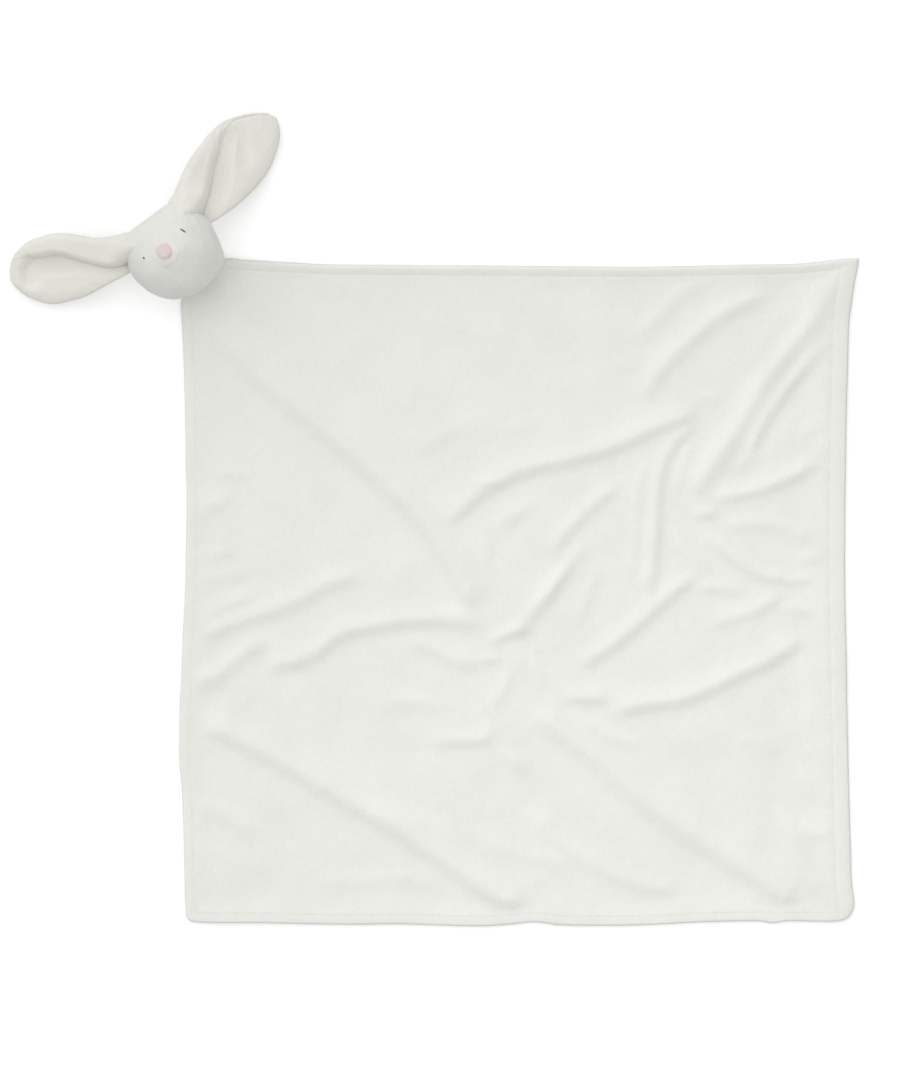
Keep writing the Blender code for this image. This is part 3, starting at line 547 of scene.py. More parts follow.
# Folds: height in mm, pixels of the slope to the light, pixels of the slope away from it, and the
# middle of the dark slope in the photograph
FOLDS = (
    (5.0, 44, 13, ((197, 315), (225, 351), (261, 388), (306, 424), (352, 463), (388, 495), (422, 531),
        (445, 565), (461, 597), (472, 617))),
    (1.6, 18, 9, ((206, 480), (229, 477), (256, 482))),
    (1.8, 16, 9, ((195, 509), (213, 509), (234, 501))),
    (1.3, 22, 12, ((461, 445), (488, 436), (515, 435), (547, 427))),
    (1.2, 20, 10, ((406, 456), (434, 447), (461, 433), (488, 422), (515, 415))),
    (1.4, 16, 9, ((197, 564), (220, 558), (243, 554))),
    (1.3, 18, 10, ((197, 590), (220, 583), (238, 579), (261, 574))),
    (4.2, 34, 9, ((443, 531), (465, 512), (485, 495), (510, 480), (537, 471), (565, 465), (592, 458),
        (619, 449), (646, 437), (674, 426), (692, 418), (706, 407))),
    (1.6, 12, 6, ((467, 489), (483, 485), (501, 486), (519, 480))),
    (1.8, 12, 6, ((694, 399), (703, 399), (711, 403), (715, 412))),
    (1.2, 16, 8, ((490, 531), (505, 522), (524, 514), (544, 506))),
    (3.0, 20, 7, ((706, 421), (688, 435), (672, 453), (663, 481), (660, 513), (658, 549), (655, 585),
        (651, 604))),
    (1.6, 16, 7, ((652, 458), (643, 485), (639, 517), (637, 554), (635, 590))),
    (1.3, 12, 7, ((697, 429), (692, 451), (683, 476), (677, 504))),
    (4.6, 26, 15, ((847, 275), (838, 297), (823, 322), (801, 349), (778, 376), (763, 401), (745, 432),
        (728, 456), (711, 481), (699, 504))),
    (3.4, 16, 7, ((834, 338), (824, 349), (805, 372), (784, 398), (767, 424), (755, 449), (749, 467))),
    (1.4, 14, 8, ((828, 420), (810, 435), (801, 445))),
    (3.0, 22, 10, ((776, 298), (746, 308), (717, 324), (693, 345), (670, 367), (655, 388), (646, 406))),
    (1.8, 20, 12, ((724, 279), (705, 286), (683, 300), (662, 322), (646, 338), (633, 349))),
    (1.2, 26, 14, ((810, 308), (783, 329), (765, 354), (746, 381))),
    (2.6, 12, 6, ((690, 515), (703, 517), (723, 515))),
    (3.4, 20, 8, ((706, 503), (737, 499), (765, 492), (792, 481), (814, 468), (828, 458))),
    (1.8, 16, 8, ((717, 532), (737, 529), (760, 528), (783, 532), (805, 541), (824, 544))),
    (3.0, 16, 7, ((694, 533), (710, 545), (730, 560), (753, 575), (776, 582), (801, 582))),
    (2.4, 16, 7, ((665, 525), (675, 542), (688, 559), (703, 572), (715, 579))),
    (2.0, 12, 8, ((795, 564), (810, 562), (828, 559))),
    (1.2, 14, 8, ((724, 476), (746, 467), (774, 454))),
    (2.6, 20, 8, ((629, 488), (612, 495), (594, 510), (574, 530), (559, 549), (552, 565))),
    (2.2, 18, 8, ((596, 539), (583, 554), (567, 574), (552, 595), (536, 617))),
    (1.3, 14, 7, ((492, 531), (490, 554), (492, 576))),
    (1.4, 16, 8, ((528, 508), (512, 524), (496, 540))),
    (3.2, 26, 10, ((198, 646), (220, 635), (245, 624), (277, 614), (306, 602), (327, 590), (350, 584),
        (370, 587))),
    (1.8, 16, 8, ((200, 624), (220, 612), (243, 603), (270, 594))),
    (3.2, 20, 11, ((186, 694), (202, 687), (220, 680), (238, 665), (257, 651), (279, 643))),
    (3.8, 30, 9, ((259, 671), (279, 669), (300, 665), (320, 655), (345, 637), (375, 630), (411, 625),
        (447, 624), (468, 628), (484, 635))),
    (2.4, 20, 8, ((397, 643), (418, 648), (438, 657), (461, 667), (485, 673))),
    (2.4, 9, 6, ((474, 660), (488, 662), (504, 660))),
    (3.0, 14, 7, ((484, 651), (497, 643), (511, 636), (527, 633), (543, 628))),
    (2.0, 14, 8, ((510, 661), (512, 675), (508, 689), (498, 706), (488, 720))),
    (1.8, 12, 7, ((525, 656), (534, 672), (540, 693))),
    (1.5, 18, 9, ((377, 712), (397, 707), (425, 708), (454, 716))),
    (2.6, 20, 8, ((422, 748), (443, 745), (465, 745), (484, 743), (494, 731), (498, 720))),
    (1.5, 14, 8, ((495, 743), (507, 761), (521, 780))),
    (4.2, 40, 12, ((195, 725), (213, 735), (238, 747), (284, 770), (329, 797), (370, 821), (406, 842),
        (440, 865), (477, 892), (509, 910), (529, 918))),
    (1.8, 20, 11, ((190, 804), (218, 819), (238, 831), (261, 842))),
    (1.2, 26, 14, ((361, 806), (397, 825), (443, 836), (488, 852), (529, 861))),
    (1.2, 20, 12, ((306, 884), (352, 888), (397, 884), (443, 894))),
    (2.8, 18, 8, ((505, 639), (521, 631), (538, 613), (553, 595), (565, 579), (578, 563))),
    (3.4, 22, 8, ((578, 674), (596, 661), (619, 645), (646, 622), (670, 600), (690, 585), (705, 575))),
    (1.3, 12, 7, ((578, 638), (585, 611), (596, 584), (608, 565))),
    (1.2, 14, 8, ((640, 597), (649, 579), (655, 561))),
    (2.2, 14, 7, ((692, 596), (705, 591), (726, 592), (746, 598))),
    (2.0, 12, 7, ((782, 584), (801, 583), (819, 575))),
    (2.2, 18, 8, ((705, 630), (728, 624), (755, 615), (776, 603), (792, 588))),
    (2.2, 12, 7, ((778, 607), (794, 612), (817, 618))),
    (4.0, 30, 9, ((608, 719), (626, 713), (651, 708), (678, 705), (706, 695), (737, 680), (769, 665),
        (794, 650), (810, 638))),
    (3.0, 24, 8, ((552, 698), (569, 701), (592, 702), (619, 701))),
    (4.4, 38, 14, ((526, 715), (543, 727), (562, 742), (592, 765), (628, 797), (667, 827), (705, 853),
        (746, 879), (778, 901), (801, 913))),
    (1.6, 14, 8, ((560, 706), (583, 725), (615, 743), (651, 752))),
    (2.2, 22, 10, ((523, 806), (534, 824), (553, 845), (583, 865), (615, 881), (651, 892), (683, 896))),
    (1.6, 12, 8, ((505, 752), (514, 765), (523, 780))),
    (1.4, 20, 12, ((505, 857), (542, 865), (578, 874))),
    (2.6, 18, 14, ((771, 806), (785, 834), (794, 859), (808, 884), (824, 904))),
    (2.0, 14, 10, ((787, 825), (805, 836), (824, 839), (838, 825))),
    (1.4, 16, 10, ((801, 761), (814, 784), (815, 806))),
    (1.6, 18, 12, ((808, 643), (815, 670), (819, 706), (817, 743))),
    (1.3, 18, 10, ((728, 738), (755, 747), (783, 752))),
)
# Metres for each mm of the folds, times that they are blurred, and the way that their long slopes face
FOLD_SCALE = 0.00102
FOLD_BLUR = 5
LIGHT_SIDE = compass(112.0, 0.0)[:2]
# Pixels over which a fold rises at its ends, and the most of its length that they take
FOLD_TAPER, MOST_TAPER = 26.0, 0.4
# A fold's profile: half of the rise in dark slopes, start of the fall in half rises, reach of the fall in
# light slopes and its sharpness, place of the dip at the foot in half rises, and its share of the height
HALF_RISE, FALL_START, FALL_REACH, FALL_SHARPNESS = 0.75, 0.8, 0.40, 1.5
DIP_PLACE, DIP_DEPTH = 1.9, 0.10


def fold_profile(distance, light_slope, dark_slope):
    """Height across a fold, from 0 to 1: a steep slope away from the light, then a long one to it."""
    half = dark_slope * HALF_RISE
    rise = smooth((distance + half) / (2.0 * half))
    past = np.maximum(distance - half * FALL_START, 0.0) / (light_slope * FALL_REACH)
    dip = DIP_DEPTH * bell((distance + half * DIP_PLACE) / dark_slope)
    return rise * np.exp(-(past**FALL_SHARPNESS)) - dip


def along_and_beside(curve, along, x, y):
    """Place along a curve of the nearest point to each x and y, and the distance, positive on its left."""
    nearest = np.full(x.shape, np.inf)
    place, beside = np.zeros(x.shape), np.zeros(x.shape)
    for start, end, before in zip(curve, curve[1:], along):
        step = end - start
        length = np.hypot(*step)
        share = np.clip(((x - start[0]) * step[0] + (y - start[1]) * step[1]) / length**2, 0.0, 1.0)
        off_x, off_y = x - start[0] - share * step[0], y - start[1] - share * step[1]
        distance = np.hypot(off_x, off_y)
        closer = distance < nearest
        nearest = np.where(closer, distance, nearest)
        beside = np.where(closer, distance * np.sign(off_y * step[0] - off_x * step[1]), beside)
        place = np.where(closer, before + share * length, place)
    return place, beside


def fold_heights(pixels):
    """Height of all folds, in metres, at each pixel place."""
    px, py = pixels[..., 0], -pixels[..., 1]
    total = np.zeros(px.shape)
    for height, light_slope, dark_slope, path in FOLDS:
        curve, along = spline(np.array(path, float) * (1.0, -1.0), samples=4)
        direction = curve[-1] - curve[0]
        side = 1.0 if (-direction[1], direction[0]) @ LIGHT_SIDE > 0.0 else -1.0
        reach = light_slope + dark_slope * 3.0
        (low_x, low_y), (high_x, high_y) = curve.min(axis=0) - reach, curve.max(axis=0) + reach
        near = (px > low_x) & (px < high_x) & (py > low_y) & (py < high_y)
        place, beside = along_and_beside(curve, along, px[near], py[near])
        taper = min(FOLD_TAPER, along[-1] * MOST_TAPER)
        ends = smooth(place / taper) * smooth((along[-1] - place) / taper)
        total[near] += height * FOLD_SCALE * ends * fold_profile(side * beside, light_slope, dark_slope)
    return total


def blur(grid, times):
    """Averages each inner point of a grid with its four neighbours, times over."""
    for _ in range(times):
        around = grid[:-2, 1:-1] + grid[2:, 1:-1] + grid[1:-1, :-2] + grid[1:-1, 2:]
        grid[1:-1, 1:-1] = grid[1:-1, 1:-1] / 2.0 + around / 8.0
    return grid


# Blanket. Heights of each border in mm, at distances from the edge in border widths: the stitch line
# is at 1
BORDER_AT = (
    0.0, 0.035, 0.08, 0.14, 0.22, 0.32, 0.45, 0.6, 0.78, 0.9, 0.96, 1.0, 1.05, 1.12, 1.25, 1.5, 1.9,
    2.4, 3.0, 3.8,
)
PLAIN_BORDER = (
    3.9, 5.4, 6.0, 6.3, 6.45, 6.5, 6.55, 6.55, 6.5, 6.42, 6.38, 6.36, 6.38, 6.4, 6.3, 6.1, 5.8, 5.5,
    5.2, 5.1,
)
RIGHT_BORDER = (
    3.9, 5.8, 6.35, 6.6, 6.8, 7.0, 7.15, 7.25, 7.25, 7.1, 6.95, 6.85, 6.95, 7.1, 7.2, 7.1, 6.55, 5.8,
    5.25, 5.1,
)
TOP_BORDER = (
    3.9, 5.4, 6.6, 7.5, 8.0, 8.1, 7.9, 7.5, 6.9, 6.45, 6.15, 6.0, 6.1, 6.2, 6.1, 5.8, 5.5, 5.3, 5.15,
    5.1,
)
BORDER_HEIGHTS = (PLAIN_BORDER, RIGHT_BORDER, PLAIN_BORDER, TOP_BORDER)
# Height of the front cloth's foot at the rim, and how sharply one border meets the next at a corner
RIM_HEIGHT = 0.0039
CORNER_SHARPNESS = 5.0
# Border widths from the rim over which the front cloth gets its thickness and the back cloth comes down,
# and height at which the back cloth starts
FRONT_TURN, BACK_TURN = 0.3, 0.45
BACK_CURL = 0.0034
# Noise of the cloth, and of its puckers at the stitch line: height, waves per metre and seed
WAVES = ((0.0014, 14.0, 1), (0.0007, 38.0, 2), (0.00022, 130.0, 3))
PUCKERS = ((0.00035, 95.0, 4),)
PUCKER_REACH = 0.8
# Share of the relief that the border has, border widths over which it grows inside the border and at the
# rim, and the deepest that it goes
BORDER_RELIEF, BORDER_CHANGE, RIM_CHANGE, DEEPEST_RELIEF = 0.28, 1.6, 0.35, -0.0016
# The cloth is flat up to this distance from the neck, and has its folds beyond a reach more
NECK_FLAT, NECK_REACH = 0.018, 0.045

NECK_JOINT = JOINTS["neck_bend"]
NECK, NECK_HEIGHT = np.array(NECK_JOINT["pos_m"][:2]), NECK_JOINT["pos_m"][2]
NECK_ALONG = unit(np.array(NECK_JOINT["axis"][:2]))
NECK_OUT = np.array((-NECK_ALONG[1], NECK_ALONG[0]))
NECK_RISE = math.radians(54.0)
# Gathering at the neck, by distance past it: width that is left, start and reach of the change, start
# and reach of the turn up into the head
GATHERED, GATHER_START, GATHER_REACH = 0.80, -0.009, 0.013
TURN_START, TURN_REACH = -0.003, 0.006
# Pleats: height, pitch, middle, reach to each side of it, and half of the gathered width
PLEAT_HEIGHT, PLEAT_PITCH, PLEAT_MIDDLE, PLEAT_REACH, PLEATED_HALF = 0.0009, 0.0042, -0.002, 0.009, 0.016


def top_heights(sheet):
    share = np.exp(-CORNER_SHARPNESS * (sheet.edges - sheet.edge))
    borders = np.array([np.interp(sheet.edge, BORDER_AT, heights) for heights in BORDER_HEIGHTS]) / 1000.0
    base = (share * borders).sum(axis=0) / share.sum(axis=0)
    inside = smooth((sheet.edge - 1.0) / BORDER_CHANGE)
    place = np.dstack([sheet.flat, np.zeros(sheet.edge.shape)])
    folds = blur(fold_heights(sheet.pixels), FOLD_BLUR)
    away = smooth((np.linalg.norm(sheet.flat - NECK, axis=-1) - NECK_FLAT) / NECK_REACH)
    relief = (folds + unevenness(place, WAVES)) * mix(BORDER_RELIEF, 1.0, inside) * away
    relief *= smooth(sheet.edge / RIM_CHANGE)
    puckers = unevenness(place, PUCKERS) * bell((sheet.edge - 1.0) / PUCKER_REACH)
    return base + np.maximum(relief, DEEPEST_RELIEF) + puckers


def gathered(flat, height):
    """Points of the cloth, with the corner drawn together and turned up into the head at the neck."""
    past = (flat - NECK) @ NECK_OUT
    aside = (flat - NECK) @ NECK_ALONG
    drawn = mix(1.0, GATHERED, smooth((past - GATHER_START) / GATHER_REACH))
    pleats = PLEAT_HEIGHT * np.cos(aside / PLEAT_PITCH * 2.0 * math.pi)
    pleats *= bell((past - PLEAT_MIDDLE) / PLEAT_REACH) * smooth(1.0 - np.abs(aside) / PLEATED_HALF)
    bend = NECK_RISE * smooth((past - TURN_START) / TURN_REACH)
    reach = np.maximum(past, 0.0)
    over = height + pleats - NECK_HEIGHT
    out = np.minimum(past, 0.0) + reach * np.cos(bend) - over * np.sin(bend)
    up = NECK_HEIGHT + reach * np.sin(bend) + over * np.cos(bend)
    bent = NECK + out[..., None] * NECK_OUT + (aside * drawn)[..., None] * NECK_ALONG
    return np.dstack([bent, up])


def blanket_cloth(name, sheet, fine, coarse, material, flip=False):
    layers = gathered(sheet.flat, fine), gathered(sheet.flat, coarse)
    return coarse_closed_layer(name, *layers, COARSE_STEP, material, flip)


def build_front_cloth(sheet, top):
    turned = top - PANEL_CLOTH * np.sqrt(smooth(sheet.edge / FRONT_TURN))
    under = np.where(sheet.edge <= 0.0, RIM_HEIGHT, turned)
    return blanket_cloth("blanket_front_cloth", sheet, top, under, blanket_plush)


def build_back_cloth(sheet):
    curl = BACK_CURL * (1.0 - quarter_round(sheet.edge / BACK_TURN))
    inner = np.maximum(curl, PANEL_CLOTH)
    return blanket_cloth("blanket_back_cloth", sheet, curl, inner, back_plush, flip=True)


def across_neck(piece):
    """Bakes a piece's place into the points of its mesh."""
    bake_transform(piece)


sheet = Sheet()
front_top = top_heights(sheet)
front_cloth = build_front_cloth(sheet, front_top)
back_cloth = build_back_cloth(sheet)
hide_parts("blanket_front_panel", "blanket_turned_hem", "neck_gather")
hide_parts("blanket_back_panel")
for cloth in (front_cloth, back_cloth):
    across_neck(cloth)


# Head: half sizes, place of its centre past the neck, and turn and lift of the face
HEAD_HALF = np.array((0.0385, 0.0375, 0.0365))
HEAD_PAST_NECK, HEAD_HEIGHT = 0.024, 0.0368
HEAD_CENTRE = np.array((*(NECK + NECK_OUT * HEAD_PAST_NECK), HEAD_HEIGHT))
CROWN_AZIMUTH = 126.0
FACE_TURN = math.radians(10.0)
FACE_LIFT = math.radians(8.5)
UP_FLAT = compass(CROWN_AZIMUTH, 0.0)
NOSE_AXIS = unit(UP - np.cross(UP_FLAT, UP) * math.tan(FACE_TURN) + UP_FLAT * math.tan(FACE_LIFT))
CROWN_AXIS = unit(UP_FLAT - NOSE_AXIS * (UP_FLAT @ NOSE_AXIS))
HEAD_AXES = np.stack([np.cross(CROWN_AXIS, NOSE_AXIS), CROWN_AXIS, NOSE_AXIS])


def to_head(points):
    return (points - HEAD_CENTRE) @ HEAD_AXES.T


def from_head(points):
    return HEAD_CENTRE + points @ HEAD_AXES


def by_face(side, turn):
    """Unit vector in the head's frame, in degrees: side off the middle, turn from nose to crown."""
    side, turn = math.radians(side), math.radians(turn)
    return np.array((math.sin(side), math.cos(side) * math.sin(turn), math.cos(side) * math.cos(turn)))


def by_compass(azimuth, elevation):
    """Unit vector in the head's frame, from an azimuth and elevation of the world."""
    return HEAD_AXES @ compass(azimuth, elevation)


EYES = {"left": by_face(-28.2, 13.4), "right": by_face(36.0, 14.0)}
# Swellings and dents: direction, spread in degrees and rise in metres
HEAD_BUMPS = (
    # Muzzle, cheeks and chin
    (by_face(0.0, -11.0), 26.0, 0.0050),
    (by_face(-38.0, -27.0), 24.0, 0.0020),
    (by_face(38.0, -27.0), 24.0, 0.0020),
    (by_face(0.0, -49.0), 18.0, 0.0015),
    # Roots of the left and of the right ear
    (by_compass(163.0, 8.0), 24.0, 0.0066),
    (by_compass(202.0, -5.0), 18.0, 0.0022),
    (by_compass(89.0, 8.0), 24.0, 0.0066),
    (by_compass(48.0, -5.0), 18.0, 0.0016),
    # Neck
    (by_compass(-8.0, -16.0), 20.0, 0.0050),
    # Bridge of the nose, and ridge down the muzzle's right side
    (by_face(5.0, -5.0), 15.0, 0.0013),
    (by_compass(30.0, 84.0), 9.0, 0.0009),
    (by_compass(-66.0, 77.0), 9.0, 0.0008),
    # Eye sockets
    (EYES["left"], 9.0, -0.0015),
    (EYES["right"], 9.0, -0.0015),
)
# Unevenness of the cover: height, waves per metre and seed
HEAD_UNEVEN = ((0.0006, 48.0, 10), (0.0004, 130.0, 11), (0.0002, 320.0, 12))

# Seams, in degrees: how far the side ones are off the middle, how much more at the peak of their swing and
# where that is, and the cross ones from nose to crown, which fade where they meet the side ones
SEAM_SIDE, SEAM_SWING, SEAM_PEAK = 26.0, 5.0, 140.0
CROSS_SEAMS = (-38.0, 95.0, 207.0)
SEAM_FADE = 1.0
SEAM_DEPTH, SEAM_WIDTH = 0.00016, 0.0012

# Eye slits in the pile: half length, half width, depth, and rise of the pile round each
EYE_SLITS = {"right": (0.0026, 0.00065, 0.0040, 0.0020), "left": (0.0009, 0.0007, 0.0036, 0.0022)}
EYE_SLIT_AZIMUTH = -39.0
EYE_RISE_REACH = 0.0058
# Eye beads: how deep they are sunk, radius, and height of the front and of the back
EYE_SUNK, BEAD_RADIUS, BEAD_FRONT, BEAD_BACK = 0.0009, 0.0030, 0.0022, 0.0012

# Cells along a side of the cube that the head is rounded from, and reach of the finer ones at the eyes
HEAD_CELLS = 72
FINE_REACH = math.radians(13.0)

# The filling's press: voxel of its shell, how much smaller it starts, pressure, furthest move, frames,
# degrees from the eyes and nose over which it grows, and points that each move is averaged from
PRESS_VOXEL, PRESS_START, PRESS_FORCE = 0.005, 0.0006, 4.0
PRESS_CAP, PRESS_FRAMES, PRESS_OFF_FACE = 0.0014, 20, 22.0
PRESS_NEIGHBOURS = 8


def head_radius(units):
    radius = 1.0 / np.linalg.norm(units / HEAD_HALF, axis=-1)
    for middle, spread, rise in HEAD_BUMPS:
        radius = radius + rise * bell(degrees_between(units, middle) / spread)
    return radius


def degrees_between(units, middle):
    return np.degrees(np.arccos(np.clip(units @ middle, -1.0, 1.0)))


def seam_nearness(units, width):
    """1 on the head's seams, falling to 0 within a few widths."""
    side = np.degrees(np.arcsin(np.clip(units[..., 0], -1.0, 1.0)))
    turn = np.degrees(np.arctan2(units[..., 1], units[..., 2]))
    limit = SEAM_SIDE + SEAM_SWING * np.cos(np.radians(turn - SEAM_PEAK))
    reach = math.degrees(width / HEAD_HALF[0])
    near = bell((np.abs(side) - limit) / reach)
    for seam in CROSS_SEAMS:
        off = (turn - seam + 180.0) % 360.0 - 180.0
        across = bell(off * np.cos(np.radians(side)) / reach)
        inside = smooth((limit + SEAM_FADE - np.abs(side)) / (2.0 * SEAM_FADE))
        near = np.maximum(near, across * inside)
    return near


def eye_place(name):
    """Middle of an eye on the head, and the way along its slit and across it, in the head's frame."""
    out = EYES[name]
    lid = by_compass(EYE_SLIT_AZIMUTH, 0.0)
    along = unit(lid - out * (lid @ out))
    return out * head_radius(out), along, np.cross(out, along)


def pile_over_eyes(points):
    """Lift of the pile round each eye, and its gap over the eye, for points in the head's frame."""
    lift = np.zeros(points.shape[:-1])
    for name, (length, width, depth, rise) in EYE_SLITS.items():
        middle, along, across = eye_place(name)
        off = points - middle
        lift += rise * bell(np.linalg.norm(off, axis=-1) / EYE_RISE_REACH)
        lift -= depth * np.exp(-((off @ along / length) ** 4) - np.abs(off @ across / width) ** 2.5)
    return lift


def ball_of_quads():
    """A closed ball of quads for the head, with finer ones at the eyes."""
    bm = bmesh.new()
    bmesh.ops.create_cube(bm, size=2.0)
    bmesh.ops.subdivide_edges(bm, edges=bm.edges[:], cuts=HEAD_CELLS - 1, use_grid_fill=True)
    for vert in bm.verts:
        vert.co = Vector([math.tan(value * math.pi / 4.0) for value in vert.co]).normalized()
    eyes = [Vector(eye) for eye in EYES.values()]
    for _ in range(2):
        middles = {face: face.calc_center_median() for face in bm.faces}
        close = [face for face, middle in middles.items() if min(map(middle.angle, eyes)) < FINE_REACH]
        edges = {edge for face in close for edge in face.edges}
        bmesh.ops.subdivide_edges(bm, edges=list(edges), cuts=1, use_grid_fill=True)
    return mesh_from("head_cover", bm)


def evaluated_mesh(thing):
    return bpy.data.meshes.new_from_object(thing.evaluated_get(bpy.context.evaluated_depsgraph_get()))


def press_of_filling(cover):
    """Shift of each point of the head's cover where the filling presses on it, from a short cloth
    simulation of a coarse copy that its seams hold back."""
    scene = bpy.context.scene
    shell = add_object("shell", cover.data.copy())
    remesh = shell.modifiers.new("remesh", "REMESH")
    remesh.mode = "VOXEL"
    remesh.voxel_size = PRESS_VOXEL
    coarse = evaluated_mesh(shell)
    shell.modifiers.clear()
    shell.data = coarse
    points = get_points(coarse)
    units = unit(to_head(points))
    set_points(coarse, points - (units @ HEAD_AXES) * PRESS_START)
    seams = shell.vertex_groups.new(name="seams")
    for index, held in enumerate(seam_nearness(units, PRESS_VOXEL).tolist()):
        seams.add([index], held, "REPLACE")
    cloth = shell.modifiers.new("cloth", "CLOTH")
    cloth.settings.use_pressure = True
    cloth.settings.uniform_pressure_force = PRESS_FORCE
    cloth.settings.effector_weights.gravity = 0.0
    cloth.settings.vertex_group_mass = "seams"
    cloth.point_cache.frame_start = 1
    cloth.point_cache.frame_end = PRESS_FRAMES
    for number in range(1, PRESS_FRAMES + 1):
        scene.frame_set(number)
    shift = get_points(evaluated_mesh(shell)) - points
    bpy.data.objects.remove(shell)
    scene.frame_set(1)
    far = np.linalg.norm(shift, axis=1)[:, None]
    shift *= np.minimum(1.0, PRESS_CAP / np.maximum(far, 1e-9))
    return carried_over(points, shift, get_points(cover.data))


def carried_over(points, shift, others):
    """Shift of other points, averaged from those of the points nearest to each."""
    tree = kdtree.KDTree(len(points))
    for index, point in enumerate(points.tolist()):
        tree.insert(point, index)
    tree.balance()
    carried = np.empty(others.shape)
    for index, point in enumerate(others.tolist()):
        near = tree.find_n(point, PRESS_NEIGHBOURS)
        share = np.array([1.0 / (distance**2 + (PRESS_VOXEL / 2.0) ** 2) for _, _, distance in near])
        carried[index] = share @ shift[[found for _, found, _ in near]] / share.sum()
    return carried


def build_head_cover():
    mesh = ball_of_quads()
    units = unit(get_points(mesh))
    points = units * (head_radius(units) - SEAM_DEPTH * seam_nearness(units, SEAM_WIDTH))[..., None]
    set_points(mesh, from_head(points))
    cover = dressed(mesh, head_plush)
    off_face = [degrees_between(units, place) for place in (*EYES.values(), by_face(0.0, 0.0))]
    strength = smooth(np.min(off_face, axis=0) / PRESS_OFF_FACE)
    points = to_head(from_head(points) + press_of_filling(cover) * strength[:, None])
    points = points + units * (unevenness(points, HEAD_UNEVEN) + pile_over_eyes(points))[:, None]
    set_points(mesh, from_head(points))
    return cover


def on_head(piece, slot, *nodes):
    """Makes a piece ride on the head, in the place of nodes of the frame."""
    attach(piece, "head")
    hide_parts(*nodes)


def build_eye(name):
    """A bead of black plastic with a flatter back, sunk in the pile."""
    middle, along, across = eye_place(name)
    bm = bmesh.new()
    bmesh.ops.create_uvsphere(bm, u_segments=40, v_segments=24, radius=1.0)
    ball = np.array([vert.co for vert in bm.verts])
    heights = ball[:, 2] * np.where(ball[:, 2] > 0.0, BEAD_FRONT, BEAD_BACK) - EYE_SUNK
    flat = BEAD_RADIUS * (ball[:, :1] * along + ball[:, 1:2] * across)
    mesh = mesh_from("eye_bead_" + name, bm)
    set_points(mesh, from_head(middle + flat + heights[:, None] * EYES[name]))
    on_head(dressed(mesh, eye_black), "eye_plastic", "eye_" + name, "eye_washer_" + name)


# Middle of the nose, to the viewer's right of the face's axis and towards the crown
NOSE_PLACE = (0.0011, 0.0012)
# Nose pad: half width and half height, rounding of its outline and narrowing to the mouth, then height,
# reach of the rounded edge and how far the foot is sunk, then height, pitch and edge of the stitches
NOSE_HALF, NOSE_ROUNDING, NOSE_NARROWING = (0.0066, 0.0068), 0.46, 0.10
NOSE_DOME, NOSE_EDGE, NOSE_FOOT = 0.0017, 0.6, 0.0004
STITCH_HEIGHT, STITCH_PITCH, STITCH_EDGE = 0.00010, 0.00042, 0.15
NOSE_POINTS = 61
# Mouth: half width, rise to its ends, share of it by which each half dips, and distance below the nose,
# then wave of the line off the face, its lift, and the thread's radius
MOUTH_HALF, MOUTH_RISE, LIP_DIP, MOUTH_BELOW = 0.0090, 0.0035, 0.5, 0.0115
MOUTH_WAVE, MOUTH_WAVES, MOUTH_LIFT, MOUTH_THREAD = 0.00018, 9.0, 0.0001, 0.00030
MOUTH_POINTS, MOUTH_SIDES = 97, 10


def face_surface(x, y, lift):
    """Points over the face, x to the viewer's right of the nose and y to the crown."""
    units = unit(np.stack([x, y, np.full(np.shape(x), HEAD_HALF[2] + HEAD_BUMPS[0][2])], axis=-1))
    return from_head(units * (head_radius(units) + lift)[..., None])


def build_nose():
    """A pad of satin stitch, its stitches from the crown to the mouth."""
    share = np.linspace(-1.0, 1.0, NOSE_POINTS)
    a, b = np.meshgrid(share, share)
    round_a, round_b = a * np.sqrt(1.0 - b * b * NOSE_ROUNDING), b * np.sqrt(1.0 - a * a * NOSE_ROUNDING)
    narrow = 1.0 - NOSE_NARROWING * (1.0 - round_b) / 2.0
    x = round_a * NOSE_HALF[0] * narrow + NOSE_PLACE[0]
    y = round_b * NOSE_HALF[1] + NOSE_PLACE[1]
    edge = 1.0 - np.maximum(np.abs(a), np.abs(b))
    stitches = STITCH_HEIGHT * np.cos(x / STITCH_PITCH * 2.0 * math.pi) * smooth(edge / STITCH_EDGE)
    top = face_surface(x, y, NOSE_FOOT + NOSE_DOME * quarter_round(edge / NOSE_EDGE) + stitches)
    low = face_surface(x, y, np.full(x.shape, -NOSE_FOOT))
    on_head(closed_layer("nose_stitching", top, low, nose_pink), "pink_thread", "nose")


def build_mouth():
    share = np.linspace(-1.0, 1.0, MOUTH_POINTS)
    x = share * MOUTH_HALF + NOSE_PLACE[0]
    lips = MOUTH_RISE * (share**2 - LIP_DIP * np.abs(np.sin(share * math.pi)))
    y = lips - MOUTH_BELOW + NOSE_PLACE[1]
    path = face_surface(x, y, MOUTH_LIFT + MOUTH_WAVE * np.cos(share * MOUTH_WAVES * math.pi))
    mouth = tube("mouth_stitches", path, MOUTH_THREAD, MOUTH_SIDES, mouth_beige)
    on_head(mouth, "pink_thread", "mouth_thread")


head_cover = build_head_cover()
on_head(
    head_cover, "white_plush", "head_face_panel", "head_chin_panel", "head_back_panel",
    "head_left_side_panel", "head_right_side_panel", "head_fibre_filling",
)
build_eye("left")
build_eye("right")
build_nose()
build_mouth()


